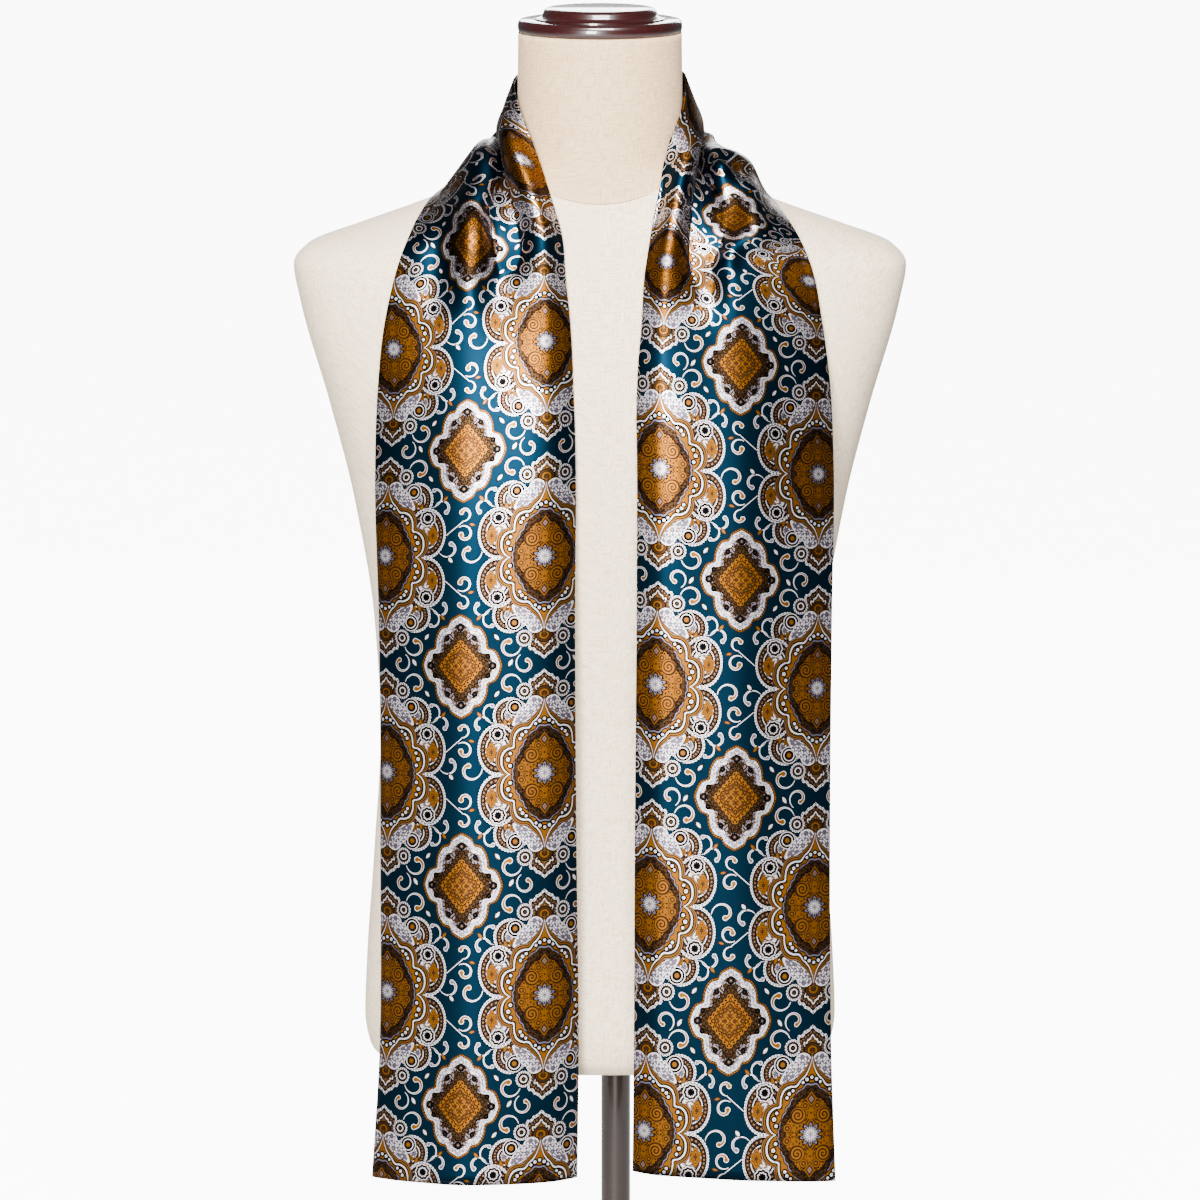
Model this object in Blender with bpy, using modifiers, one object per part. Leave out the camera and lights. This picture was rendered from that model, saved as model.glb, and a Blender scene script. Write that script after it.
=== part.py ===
"""A silk scarf hung round the neck of a limbless dress form on a round stand.

The scarf is one long sheet of silk folded lengthwise in three, so that it hangs as a flat
band with a fold along each edge. The band lies round the back of the neck, comes forward
over both shoulders and hangs straight down the front, a little below the form.

Metres, +Z up, standing on z = 0. The front faces -Y, and left and right are as seen from
the front. Heights in the tables are measured down from the top of the neck cap.
"""

import math

import bmesh
import bpy
import numpy as np

# ---------------------------------------------------------------- driving dimensions

TOTAL_HEIGHT = 1.100  # floor to the top of the neck cap
FIT_GAP = 0.0003  # between pieces that touch

CAP_HEIGHT = 0.018
CAP_TOP_RADIUS = 0.0420
CAP_STEP_RADIUS = 0.0480
CAP_RADIUS = 0.0608
CAP_STEP_HEIGHT = 0.0085
CAP_ROUND = 0.0035
CAP_LIP = 0.0010  # the slope at the upper step's foot

FORM_DEPTH = 0.796  # from the cap's top down to the form's flat underside

POLE_RADIUS = 0.0110
POLE_OFFSET = 0.0120  # the pole stands a little to the right of the neck's middle

BASE_RADIUS = 0.150
BASE_HEIGHT = 0.018
BASE_ROUND = 0.006
HUB_RADIUS = 0.024
HUB_HEIGHT = 0.014
HUB_ROUND = 0.004

CLOTH_WALL = 0.0030  # three layers of silk with the air between them
CLOTH_REST = 0.0009  # left free between the scarf's wall and the form
SCARF_HALF_LENGTH = 0.945  # along the band, from the back of the neck to a hem
TAIL_STARTS = 0.270  # along the band: where the neck stretch ends and a tail begins
SEAM_GAP = 0.0005

FORM_SIDES = 48
TURNED_SIDES = 40
NECK_STEPS = 44
TAIL_STEPS = 26
BAND_STEPS = 18
CURVE_STEPS = 120  # along one cross cut, before it is evened out
CORNER_STEPS = 4
ONWARD_STEP = 0.004  # each way along the band, to find which way it runs
PROBE_STEP = 0.0005  # each way in space, to find how the form's side slopes
LAY_PASSES = 6
MOST_PUSH = 0.010  # in one pass
MERGE_UNDER = 0.00005

# The form's level cuts, from the neck's top to the underside. Each is a rounded oblong:
# squareness 2 is an ellipse, and more is squarer.
FORM_COLUMNS = ("down", "half_width", "front", "back", "squareness")
FORM_CUTS = (
    (0.0183, 0.0605, 0.0605, 0.0605, 2.00),  # top of the neck
    (0.0980, 0.0618, 0.0615, 0.0640, 2.00),
    (0.1100, 0.0650, 0.0620, 0.0680, 2.00),  # neck curves out into the shoulder
    (0.1180, 0.0725, 0.0628, 0.0715, 2.05),
    (0.1270, 0.0885, 0.0638, 0.0750, 2.10),
    (0.1365, 0.1125, 0.0658, 0.0785, 2.15),
    (0.1485, 0.1440, 0.0695, 0.0825, 2.25),
    (0.1620, 0.1820, 0.0750, 0.0875, 2.40),
    (0.1760, 0.2175, 0.0800, 0.0930, 2.50),
    (0.1890, 0.2275, 0.0840, 0.0980, 2.60),  # shoulder ends, the widest
    (0.2180, 0.2225, 0.0915, 0.1060, 2.60),
    (0.2930, 0.2015, 0.1020, 0.1150, 2.50),  # chest
    (0.3690, 0.1830, 0.0985, 0.1100, 2.40),
    (0.4600, 0.1690, 0.0890, 0.0950, 2.40),
    (0.5400, 0.1650, 0.0820, 0.0880, 2.40),  # waist
    (0.6360, 0.1705, 0.0805, 0.1000, 2.40),
    (0.7200, 0.1765, 0.0820, 0.1120, 2.40),
    (0.7600, 0.1780, 0.0825, 0.1130, 2.40),  # hips
    (0.7820, 0.1745, 0.0795, 0.1095, 2.40),
    (0.7930, 0.1655, 0.0710, 0.1010, 2.40),
    (0.7960, 0.1550, 0.0610, 0.0905, 2.40),  # flat underside
)

# The band's cross cuts, from the back of the neck to a hem. Each starts as a straight line
# from the inner fold (beside the neck) to the outer fold (over the shoulder). The cloth
# stands off that line by roll, valley and flap, and the two folds curl back by the drops.
BAND_COLUMNS = (
    "along",
    "in_out", "in_front", "in_down",
    "out_out", "out_front", "out_down",
    "roll", "valley", "flap",
    "in_drop", "out_drop",
)
LEFT_CUTS = (
    (0.050, 0.0440, -0.0470, 0.0510, 0.0500, -0.0920, 0.1620, 0.0030, 0.0020, 0.0040, 0, 0),
    (0.100, 0.0635, -0.0050, 0.0550, 0.0880, -0.0620, 0.1500, 0.0010, 0.0000, 0.0040, 0, 0),
    (0.135, 0.0590, 0.0260, 0.0730, 0.1080, -0.0280, 0.1395, 0.0050, -0.0040, 0.0080, 0, 0),
    (0.160, 0.0500, 0.0420, 0.0940, 0.1165, -0.0020, 0.1380, 0.0100, -0.0080, 0.0140, 0, 0),
    (0.185, 0.0420, 0.0540, 0.1150, 0.1245, 0.0210, 0.1445, 0.0130, -0.0100, 0.0140, 0, 0),
    (0.210, 0.0345, 0.0650, 0.1370, 0.1330, 0.0430, 0.1530, 0.0130, -0.0090, 0.0130, 0, 0),
    (0.240, 0.0275, 0.0770, 0.1620, 0.1430, 0.0660, 0.1700, 0.0110, -0.0030, 0.0120, 0, 0),
    (0.270, 0.0252, 0.0880, 0.1900, 0.1510, 0.0760, 0.1940, 0.0090, 0.0040, 0.0110, 0.001, 0),
    (0.300, 0.0225, 0.0970, 0.2180, 0.1575, 0.0800, 0.2240, 0.0080, 0.0085, 0.0110, 0.002, 0.001),
    (0.350, 0.0200, 0.1050, 0.2670, 0.1628, 0.0820, 0.2730, 0.0085, 0.0115, 0.0135, 0.003, 0.002),
    (0.410, 0.0185, 0.1090, 0.3270, 0.1650, 0.0860, 0.3330, 0.0095, 0.0140, 0.0160, 0.003, 0.003),
    (0.520, 0.0190, 0.1085, 0.4370, 0.1628, 0.0880, 0.4435, 0.0105, 0.0160, 0.0185, 0.003, 0.003),
    (0.700, 0.0180, 0.1060, 0.6170, 0.1625, 0.0890, 0.6240, 0.0115, 0.0185, 0.0205, 0.003, 0.003),
    (0.850, 0.0165, 0.1030, 0.7680, 0.1640, 0.0920, 0.7735, 0.0125, 0.0200, 0.0220, 0.003, 0.003),
    (0.945, 0.0175, 0.1030, 0.8640, 0.1700, 0.0930, 0.8665, 0.0125, 0.0205, 0.0225, 0.003, 0.003),
)
RIGHT_CUTS = (
    (0.050, 0.0440, -0.0470, 0.0505, 0.0500, -0.0920, 0.1610, 0.0030, 0.0020, 0.0040, 0, 0),
    (0.100, 0.0630, -0.0050, 0.0525, 0.0900, -0.0640, 0.1490, 0.0010, 0.0000, 0.0040, 0, 0),
    (0.130, 0.0600, 0.0180, 0.0730, 0.1080, -0.0360, 0.1405, 0.0040, -0.0040, 0.0090, 0, 0),
    (0.158, 0.0515, 0.0380, 0.0940, 0.1205, -0.0060, 0.1375, 0.0090, -0.0090, 0.0190, 0, 0),
    (0.185, 0.0455, 0.0510, 0.1160, 0.1275, 0.0175, 0.1420, 0.0120, -0.0120, 0.0180, 0, 0),
    (0.210, 0.0410, 0.0625, 0.1385, 0.1360, 0.0400, 0.1500, 0.0130, -0.0120, 0.0150, 0, 0),
    (0.240, 0.0362, 0.0770, 0.1650, 0.1470, 0.0610, 0.1660, 0.0120, -0.0080, 0.0130, 0, 0),
    (0.270, 0.0325, 0.0880, 0.1910, 0.1565, 0.0730, 0.1900, 0.0095, -0.0010, 0.0110, 0.001, 0),
    (0.300, 0.0310, 0.0970, 0.2195, 0.1618, 0.0790, 0.2190, 0.0080, 0.0070, 0.0110, 0.002, 0.001),
    (0.350, 0.0275, 0.1050, 0.2680, 0.1685, 0.0840, 0.2690, 0.0085, 0.0115, 0.0135, 0.003, 0.002),
    (0.410, 0.0278, 0.1095, 0.3280, 0.1713, 0.0890, 0.3285, 0.0090, 0.0130, 0.0150, 0.003, 0.003),
    (0.520, 0.0275, 0.1090, 0.4380, 0.1705, 0.0940, 0.4385, 0.0095, 0.0140, 0.0160, 0.003, 0.003),
    (0.700, 0.0262, 0.1060, 0.6180, 0.1698, 0.1000, 0.6185, 0.0090, 0.0125, 0.0140, 0.003, 0.003),
    (0.850, 0.0255, 0.1020, 0.7680, 0.1713, 0.1070, 0.7680, 0.0075, 0.0095, 0.0105, 0.003, 0.003),
    (0.945, 0.0245, 0.0970, 0.8610, 0.1748, 0.1100, 0.8650, 0.0060, 0.0080, 0.0090, 0.003, 0.003),
)
BACK_CUT = (0, 0, -0.0650, 0.0500, 0, -0.0980, 0.1650, 0.003, 0.002, 0.003, 0, 0)

# Where the named heights lie on the straight line, as shares of its length.
ROLL_AT = 0.13
VALLEY_AT = 0.36
FLAP_AT = 0.52
SLOPE_AT = 0.80
SLOPE_SHARE = 0.55  # of the flap's height
IN_CURL = 0.036  # how wide the inner fold's round is
OUT_CURL = 0.024

# ---------------------------------------------------------------- colours

LINEN = (0.80, 0.76, 0.69, 1.0)
MAHOGANY = (0.115, 0.010, 0.012, 1.0)
DARK_WOOD = (0.065, 0.028, 0.012, 1.0)
SILK_TEAL = (0.012, 0.085, 0.120, 1.0)


# ---------------------------------------------------------------- helpers


def smooth_through(places, values, at):
    """A smooth curve through the values, which never swings past them."""
    places = np.asarray(places, float)
    values = np.asarray(values, float)
    steps = np.diff(places)
    slopes = np.diff(values) / steps
    ends = np.zeros_like(values)
    ends[0] = slopes[0]
    ends[-1] = slopes[-1]
    same_way = slopes[:-1] * slopes[1:] > 0
    before = 2 * steps[1:] + steps[:-1]
    after = steps[1:] + 2 * steps[:-1]
    with np.errstate(divide="ignore", invalid="ignore"):
        mixed = (before + after) / (before / slopes[:-1] + after / slopes[1:])
    ends[1:-1] = np.where(same_way, mixed, 0.0)
    at = np.clip(at, places[0], places[-1])
    cell = np.clip(np.searchsorted(places, at, side="right") - 1, 0, len(steps) - 1)
    share = (at - places[cell]) / steps[cell]
    rise = values[cell + 1] - values[cell]
    start = ends[cell] * steps[cell]
    end = ends[cell + 1] * steps[cell]
    curve = start + (3 * rise - 2 * start - end) * share
    curve += (start + end - 2 * rise) * share**2
    return values[cell] + curve * share


def even_curve(places, values, at):
    """A smooth curve through the values with rounded turns, for rails along the cloth."""
    places = np.asarray(places, float)
    values = np.asarray(values, float)
    tangents = np.gradient(values, places)
    at = np.clip(at, places[0], places[-1])
    cell = np.clip(np.searchsorted(places, at, side="right") - 1, 0, len(places) - 2)
    step = places[cell + 1] - places[cell]
    share = (at - places[cell]) / step
    rise = values[cell + 1] - values[cell]
    start = tangents[cell] * step
    end = tangents[cell + 1] * step
    curve = start + (3 * rise - 2 * start - end) * share
    curve += (start + end - 2 * rise) * share**2
    return values[cell] + curve * share


def material(name, colour, roughness, metallic=0.0):
    made = bpy.data.materials.new(name)
    made.use_nodes = True
    shader = made.node_tree.nodes["Principled BSDF"]
    shader.inputs["Base Color"].default_value = colour
    shader.inputs["Roughness"].default_value = roughness
    shader.inputs["Metallic"].default_value = metallic
    made.diffuse_color = colour
    return made


def add_object(name, mesh, surface):
    made = bpy.data.objects.new(name, mesh)
    mesh.materials.append(surface)
    scarf_and_form.objects.link(made)
    return made


def turned(name, profile, surface):
    """A turned piece: profile lists (radius, height) down the outer side, from axis to axis."""
    mesh = bpy.data.meshes.new(name)
    corners = [(radius, 0.0, height) for radius, height in profile]
    edges = [(i, i + 1) for i in range(len(corners) - 1)]
    mesh.from_pydata(corners, edges, [])
    made = add_object(name, mesh, surface)
    screw = made.modifiers.new("Turn", "SCREW")
    screw.steps = TURNED_SIDES
    screw.render_steps = TURNED_SIDES
    screw.use_merge_vertices = True
    screw.merge_threshold = MERGE_UNDER
    screw.use_smooth_shade = True
    return made


def rounded_corner(radius, height, roundness):
    """Profile points round the upper outer corner of a step at this radius and height."""
    turns = [math.pi / 2 * (1 - i / CORNER_STEPS) for i in range(CORNER_STEPS + 1)]
    return [
        (
            radius - roundness + roundness * math.cos(turn),
            height - roundness + roundness * math.sin(turn),
        )
        for turn in turns
    ]


def grid_mesh(name, points, closed_rows):
    """A sheet or tube through rows of points. A tube's two ends are closed."""
    rows, columns = points.shape[:2]
    sheet = bmesh.new()
    corners = [[sheet.verts.new(point) for point in row] for row in points]
    last = columns if closed_rows else columns - 1
    for row in range(rows - 1):
        for column in range(last):
            beside = (column + 1) % columns
            sheet.faces.new(
                (
                    corners[row][column],
                    corners[row][beside],
                    corners[row + 1][beside],
                    corners[row + 1][column],
                )
            )
    if closed_rows:
        sheet.faces.new(reversed(corners[0]))
        sheet.faces.new(corners[-1])
    mesh = bpy.data.meshes.new(name)
    sheet.to_mesh(mesh)
    sheet.free()
    mesh.shade_smooth()
    return mesh


# ---------------------------------------------------------------- the dress form


def form_cut(down):
    """Half width, front, back and squareness of the form this far below the cap's top."""
    table = np.array(FORM_CUTS)
    return [
        smooth_through(table[:, 0], table[:, FORM_COLUMNS.index(name)], down)
        for name in FORM_COLUMNS[1:]
    ]


def outside_form(points):
    """How far each point is outside the form, in metres, from its level cut there."""

    def share_of_cut(at):
        half_width, front, back, squareness = form_cut(TOTAL_HEIGHT - at[..., 2])
        depth = np.where(at[..., 1] < 0, front, back)
        across = np.abs(at[..., 0]) / half_width
        through = np.abs(at[..., 1]) / depth
        return (across**squareness + through**squareness) ** (1 / squareness) - 1

    share = share_of_cut(points)
    slope = np.stack(
        [
            (share_of_cut(points + move) - share_of_cut(points - move)) / (2 * PROBE_STEP)
            for move in np.eye(3) * PROBE_STEP
        ],
        axis=-1,
    )
    steepness = np.linalg.norm(slope, axis=-1, keepdims=True)
    return share / steepness[..., 0], slope / steepness


def lay_on_form(points, clearance):
    """Moves out the points that are nearer to the form than the clearance."""
    for _ in range(LAY_PASSES):
        distance, outward = outside_form(points)
        push = np.clip(clearance - distance, 0, MOST_PUSH)
        points = points + outward * push[..., None]
    return points


def make_form(linen):
    table = np.array(FORM_CUTS)
    between = (table[1:-3, 0] + table[2:-2, 0]) / 2
    downs = np.sort(np.concatenate([table[:, 0], between]))[::-1]
    turns = np.linspace(0, 2 * math.pi, FORM_SIDES, endpoint=False)
    rows = []
    for down in downs:
        half_width, front, back, squareness = form_cut(down)
        power = 2 / squareness
        across = np.sign(np.cos(turns)) * np.abs(np.cos(turns)) ** power
        through = np.sign(np.sin(turns)) * np.abs(np.sin(turns)) ** power
        depth = np.where(through < 0, front, back)
        height = np.full(FORM_SIDES, TOTAL_HEIGHT - down)
        rows.append(np.stack([half_width * across, depth * through, height], axis=-1))
    mesh = grid_mesh("dress_form_torso", np.array(rows), closed_rows=True)
    return add_object("dress_form_torso", mesh, linen)


# ---------------------------------------------------------------- cap and stand


def make_cap(mahogany):
    top = TOTAL_HEIGHT
    step = top - CAP_STEP_HEIGHT
    under = top - CAP_HEIGHT
    profile = [(0.0, top)]
    profile += rounded_corner(CAP_TOP_RADIUS, top, CAP_ROUND)
    profile += [(CAP_STEP_RADIUS, step + CAP_LIP), (CAP_STEP_RADIUS, step)]
    profile += rounded_corner(CAP_RADIUS, step, CAP_ROUND)
    profile += [(CAP_RADIUS, under), (0.0, under)]
    return turned("neck_cap", profile, mahogany)


def make_pole(dark_wood):
    bottom = BASE_HEIGHT + HUB_HEIGHT + FIT_GAP
    top = TOTAL_HEIGHT - FORM_DEPTH - FIT_GAP
    profile = [(0.0, top), (POLE_RADIUS, top), (POLE_RADIUS, bottom), (0.0, bottom)]
    pole = turned("stand_pole", profile, dark_wood)
    pole.location.x = POLE_OFFSET
    return pole


def make_base(dark_wood):
    profile = [(0.0, BASE_HEIGHT + HUB_HEIGHT)]
    profile += rounded_corner(HUB_RADIUS, BASE_HEIGHT + HUB_HEIGHT, HUB_ROUND)
    profile += [(HUB_RADIUS, BASE_HEIGHT)]
    profile += rounded_corner(BASE_RADIUS, BASE_HEIGHT, BASE_ROUND)
    profile += [(BASE_RADIUS, 0.0), (0.0, 0.0)]
    base = turned("stand_base", profile, dark_wood)
    base.location.x = POLE_OFFSET
    return base


# ---------------------------------------------------------------- the scarf


def band_table():
    """All cross cuts from the left hem round the neck to the right hem, left side negative."""
    left = np.array(LEFT_CUTS)[::-1]
    for column in (0, 1, 4):
        left[:, column] *= -1
    return np.vstack([left, [BACK_CUT], RIGHT_CUTS])


def band_cuts(along):
    """The table's columns at these places, and the inner and outer folds as points."""
    table = band_table()
    cut = {
        name: even_curve(table[:, 0], table[:, column], along)
        for column, name in enumerate(BAND_COLUMNS)
    }
    inner = np.stack(
        [cut["in_out"], -cut["in_front"], TOTAL_HEIGHT - cut["in_down"]], axis=-1
    )
    outer = np.stack(
        [cut["out_out"], -cut["out_front"], TOTAL_HEIGHT - cut["out_down"]], axis=-1
    )
    return cut, inner, outer


def band_surface(along, steps):
    """The middle of the scarf's wall, as rows of points at these places along the band."""
    cut, inner, outer = band_cuts(along)
    _, inner_before, outer_before = band_cuts(along - ONWARD_STEP)
    _, inner_after, outer_after = band_cuts(along + ONWARD_STEP)
    line = outer - inner
    onward = inner_after + outer_after - inner_before - outer_before
    outward = np.cross(onward, line)
    outward /= np.linalg.norm(outward, axis=1, keepdims=True)

    fine = np.linspace(0, 1, CURVE_STEPS + 1)
    rows = []
    for i in range(len(along)):
        length = np.linalg.norm(line[i])
        heights = (
            0,
            cut["roll"][i],
            cut["valley"][i],
            cut["flap"][i],
            cut["flap"][i] * SLOPE_SHARE,
            0,
        )
        stand_off = smooth_through((0, ROLL_AT, VALLEY_AT, FLAP_AT, SLOPE_AT, 1), heights, fine)
        near_inner = np.clip(1 - fine * length / IN_CURL, 0, 1)
        near_outer = np.clip(1 - (1 - fine) * length / OUT_CURL, 0, 1)
        stand_off -= cut["in_drop"][i] * (1 - np.sqrt(1 - near_inner**2))
        stand_off -= cut["out_drop"][i] * (1 - np.sqrt(1 - near_outer**2))
        curve = inner[i] + fine[:, None] * line[i] + stand_off[:, None] * outward[i]
        walked = np.concatenate([[0], np.cumsum(np.linalg.norm(np.diff(curve, axis=0), axis=1))])
        even = np.linspace(0, walked[-1], steps + 1)
        rows.append(np.stack([np.interp(even, walked, curve[:, k]) for k in range(3)], axis=-1))
    return lay_on_form(np.array(rows), CLOTH_WALL / 2 + CLOTH_REST)


def make_stretch(name, start, end, steps, silk):
    along = np.linspace(start, end, steps + 1)
    mesh = grid_mesh(name, band_surface(along, BAND_STEPS), closed_rows=False)
    stretch = add_object(name, mesh, silk)
    wall = stretch.modifiers.new("Wall", "SOLIDIFY")
    wall.thickness = CLOTH_WALL
    wall.offset = 0
    wall.use_even_offset = True
    return stretch


# ---------------------------------------------------------------- build

for old in list(bpy.data.objects):
    bpy.data.objects.remove(old, do_unlink=True)

scarf_and_form = bpy.data.collections.new("silk_scarf_on_dress_form")
bpy.context.scene.collection.children.link(scarf_and_form)

linen = material("linen cover", LINEN, 0.9)
mahogany = material("lacquered mahogany", MAHOGANY, 0.15)
dark_wood = material("varnished dark wood", DARK_WOOD, 0.2)
silk = material("teal jacquard silk", SILK_TEAL, 0.35)

make_form(linen)
make_cap(mahogany)
make_pole(dark_wood)
make_base(dark_wood)
make_stretch("scarf_neck", -TAIL_STARTS, TAIL_STARTS, NECK_STEPS, silk)
tail_from = TAIL_STARTS + SEAM_GAP
make_stretch("scarf_left_tail", -SCARF_HALF_LENGTH, -tail_from, TAIL_STEPS, silk)
make_stretch("scarf_right_tail", tail_from, SCARF_HALF_LENGTH, TAIL_STEPS, silk)
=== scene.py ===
# %% [markdown]
# # A silk scarf on a dress form
# The part is a long jacquard silk scarf, folded lengthwise in three and hung round the neck
# of a linen-covered dress form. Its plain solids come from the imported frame. This lesson
# dresses them: it builds the folded cloth again as one thin sheet, weaves the silk's pattern
# and the linen's threads out of shader nodes, and polishes the wood.
#
# Everything is in metres, +Z up, and the front faces -Y. Left and right are as seen from the
# front, as for the solids.

import math

import bpy
import numpy as np
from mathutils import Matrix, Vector


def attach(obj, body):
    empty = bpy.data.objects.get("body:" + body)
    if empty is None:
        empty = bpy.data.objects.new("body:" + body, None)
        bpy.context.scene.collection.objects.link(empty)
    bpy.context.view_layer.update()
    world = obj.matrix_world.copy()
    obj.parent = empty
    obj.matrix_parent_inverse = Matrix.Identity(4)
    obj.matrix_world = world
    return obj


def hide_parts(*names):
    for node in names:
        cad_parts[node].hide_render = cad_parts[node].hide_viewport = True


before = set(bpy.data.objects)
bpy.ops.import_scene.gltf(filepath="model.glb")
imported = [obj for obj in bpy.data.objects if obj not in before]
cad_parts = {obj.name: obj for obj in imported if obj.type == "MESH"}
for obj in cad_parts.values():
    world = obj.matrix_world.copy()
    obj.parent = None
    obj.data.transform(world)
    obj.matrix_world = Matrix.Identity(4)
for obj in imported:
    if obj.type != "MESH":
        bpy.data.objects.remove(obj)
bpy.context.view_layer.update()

# %% [markdown]
# ## One helper for every node
# A material here is a tree of nodes, and the silk's alone has over 600. `add_node` makes any
# node, shader or geometry, sets its properties and fills its sockets in one call. `Field`
# wraps a shader node's output, so that sums and comparisons in Python become math nodes.
# Writing the same tree by hand, link by link, would hide the drawing in it.

# %% Colours as a designer writes them
def colour_of(hex_code):
    """An sRGB hex code as the linear colour that shaders use."""

    def linear(part):
        """One colour channel, from 0 to 255, as light."""
        part /= 255
        return part / 12.92 if part <= 0.04045 else ((part + 0.055) / 1.055) ** 2.4

    return [linear(int(hex_code[i : i + 2], 16)) for i in (1, 3, 5)] + [1.0]


# %% One call for each node
def add_node(tree, kind, settings=None, links=None):
    """Adds a node, sets its properties, and fills its sockets with values or outputs."""
    made = tree.nodes.new(kind)
    for name, value in (settings or {}).items():
        setattr(made, name, value)
    for name, value in (links or {}).items():
        if isinstance(value, Field):
            value = value.output
        if isinstance(value, bpy.types.NodeSocket):
            tree.links.new(value, made.inputs[name])
        else:
            made.inputs[name].default_value = value
    return made


# %% A shader value that Python can reckon with
class Field:
    """A value that changes over a surface, held by one output of a node tree."""

    def __init__(self, tree, output):
        self.tree = tree
        self.output = output

    def math(self, operation, *others):
        """Any operation of the math node, on this value and others."""
        links = dict(enumerate((self, *others)))
        made = add_node(self.tree, "ShaderNodeMath", {"operation": operation}, links)
        return Field(self.tree, made.outputs[0])

    def vector(self, operation, *others):
        """Any operation of the vector math node, whether it gives a vector or a number."""
        links = dict(enumerate((self, *others)))
        made = add_node(self.tree, "ShaderNodeVectorMath", {"operation": operation}, links)
        number = operation in ("LENGTH", "DISTANCE", "DOT_PRODUCT")
        return Field(self.tree, made.outputs["Value" if number else "Vector"])

    def split(self):
        """The place's two parts, across and along."""
        made = add_node(self.tree, "ShaderNodeSeparateXYZ", {}, {"Vector": self})
        return Field(self.tree, made.outputs["X"]), Field(self.tree, made.outputs["Y"])

    def __add__(self, other):
        return self.math("ADD", other)

    def __sub__(self, other):
        return self.math("SUBTRACT", other)

    def __mul__(self, other):
        return self.math("MULTIPLY", other)

    def __lt__(self, other):
        return self.math("LESS_THAN", other)

    def __gt__(self, other):
        return self.math("GREATER_THAN", other)

    def scaled(self, factor, shift):
        """Times a factor, plus a shift, in one node."""
        return self.math("MULTIPLY_ADD", factor, shift)

    def size(self):
        """The value without its sign."""
        return self.math("ABSOLUTE")

    def least(self, other):
        return self.math("MINIMUM", other)

    def most(self, other):
        return self.math("MAXIMUM", other)

    def wave(self, count, shift=0.0):
        """A cosine that comes round this many times while the value passes a full turn."""
        return self.scaled(count, shift).math("COSINE")


# %% [markdown]
# ## Drawing with distances
# A jacquard loom lays one yarn or another on top at each crossing, so its colours are flat,
# with hard edges. That is how this pattern is drawn. Each motif is a distance in millimetres
# of cloth from its outline, below zero inside it, and `bands` turns the distance into flat
# bands of yarn colour. Its alpha says where the motif covers what was laid before it.

# %% Distances
def near(place, centre):
    """Distance from a centre, in mm."""
    return place.vector("DISTANCE", (*centre, 0.0))


def oval(place, centre, half):
    """Distance from a centre as a share of an oval's half width and half height."""
    scaled = place.vector("MULTIPLY", (1 / half[0], 1 / half[1], 0.0))
    return near(scaled, (centre[0] / half[0], centre[1] / half[1]))


def bearing(place, centre):
    """The turn about a centre, in radians, from the across direction."""
    across, along = place.vector("SUBTRACT", (*centre, 0.0)).split()
    return along.math("ARCTAN2", across)


# %% From a distance to yarn colours
def bands(distance, low, high, table):
    """Colour and cover. The table says at which distance each yarn colour starts."""
    share = distance.scaled(1 / (high - low), -low / (high - low))
    ramp = add_node(distance.tree, "ShaderNodeValToRGB", {}, {"Fac": share})
    ramp.color_ramp.interpolation = "CONSTANT"
    stops = ramp.color_ramp.elements
    while len(stops) < len(table):
        stops.new(1.0)
    for stop, (start, colour) in zip(stops, table):
        stop.position = min(max(0.0, (start - low) / (high - low)), 1.0)
        stop.color = colour
    colour, cover = ramp.outputs["Color"], ramp.outputs["Alpha"]
    return Field(distance.tree, colour), Field(distance.tree, cover)


def lay(under, cover, over):
    """The colour over where cover is 1, and the colour under elsewhere."""
    links = {0: cover, 6: under, 7: over}
    made = add_node(under.tree, "ShaderNodeMix", {"data_type": "RGBA"}, links)
    return Field(under.tree, made.outputs[2])


def lay_bands(under, distance, low, high, table):
    """Lays a motif's bands over what is already there. Low and high bound the table."""
    colour, cover = bands(distance, low, high, table)
    return lay(under, cover, colour)


def read_curve(value, low, high, top, table):
    """Reads a short table (value, result) as a smooth curve, from low to high."""
    node = add_node(
        value.tree, "ShaderNodeFloatCurve", {},
        {"Value": value.scaled(1 / (high - low), -low / (high - low))},
    )
    line = node.mapping.curves[0]
    points = [((place - low) / (high - low), result / top) for place, result in table]
    line.points[0].location = points[0]
    line.points[1].location = points[-1]
    for point in points[1:-1]:
        line.points.new(*point)
    node.mapping.update()
    return Field(value.tree, node.outputs[0]) * top


# %% [markdown]
# ## Scrolls and leaves
# Two shapes come back all over the cloth: a comma that winds up to a round knob, and a
# pointed leaf. A comma's line is a spiral, whose radius and width both change evenly with
# the turn, so one angle is enough to draw it.

# %% A comma and a leaf
BEYOND = 60.0  # mm, added to a scroll's distance past its end, so that nothing shows there


def scroll(place, centre, radii, start, sweep, widths, knob):
    """A comma that winds from a thin stem to a round knob. Angles are in degrees."""
    flip = -1 if sweep < 0 else 1
    start, sweep = math.radians(start) * flip, math.radians(sweep) * flip
    spoke = place.vector("SUBTRACT", (*centre, 0.0))
    across, along = spoke.split()
    if flip < 0:
        along = along * -1.0
    angle = along.math("ARCTAN2", across).math("WRAP", start + 2 * math.pi, start)
    growth = (radii[1] - radii[0]) / sweep
    line = angle.scaled(growth, radii[0] - growth * start)
    growth = (widths[1] - widths[0]) / sweep
    half = angle.scaled(growth, widths[0] - growth * start)
    stroke = (spoke.vector("LENGTH") - line).size() - half
    end = start + sweep
    stroke = (angle > end).math("MULTIPLY_ADD", BEYOND, stroke)
    middle = (
        centre[0] + radii[1] * math.cos(end),
        centre[1] + flip * radii[1] * math.sin(end),
    )
    return stroke.least(near(place, middle) - knob)


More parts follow.
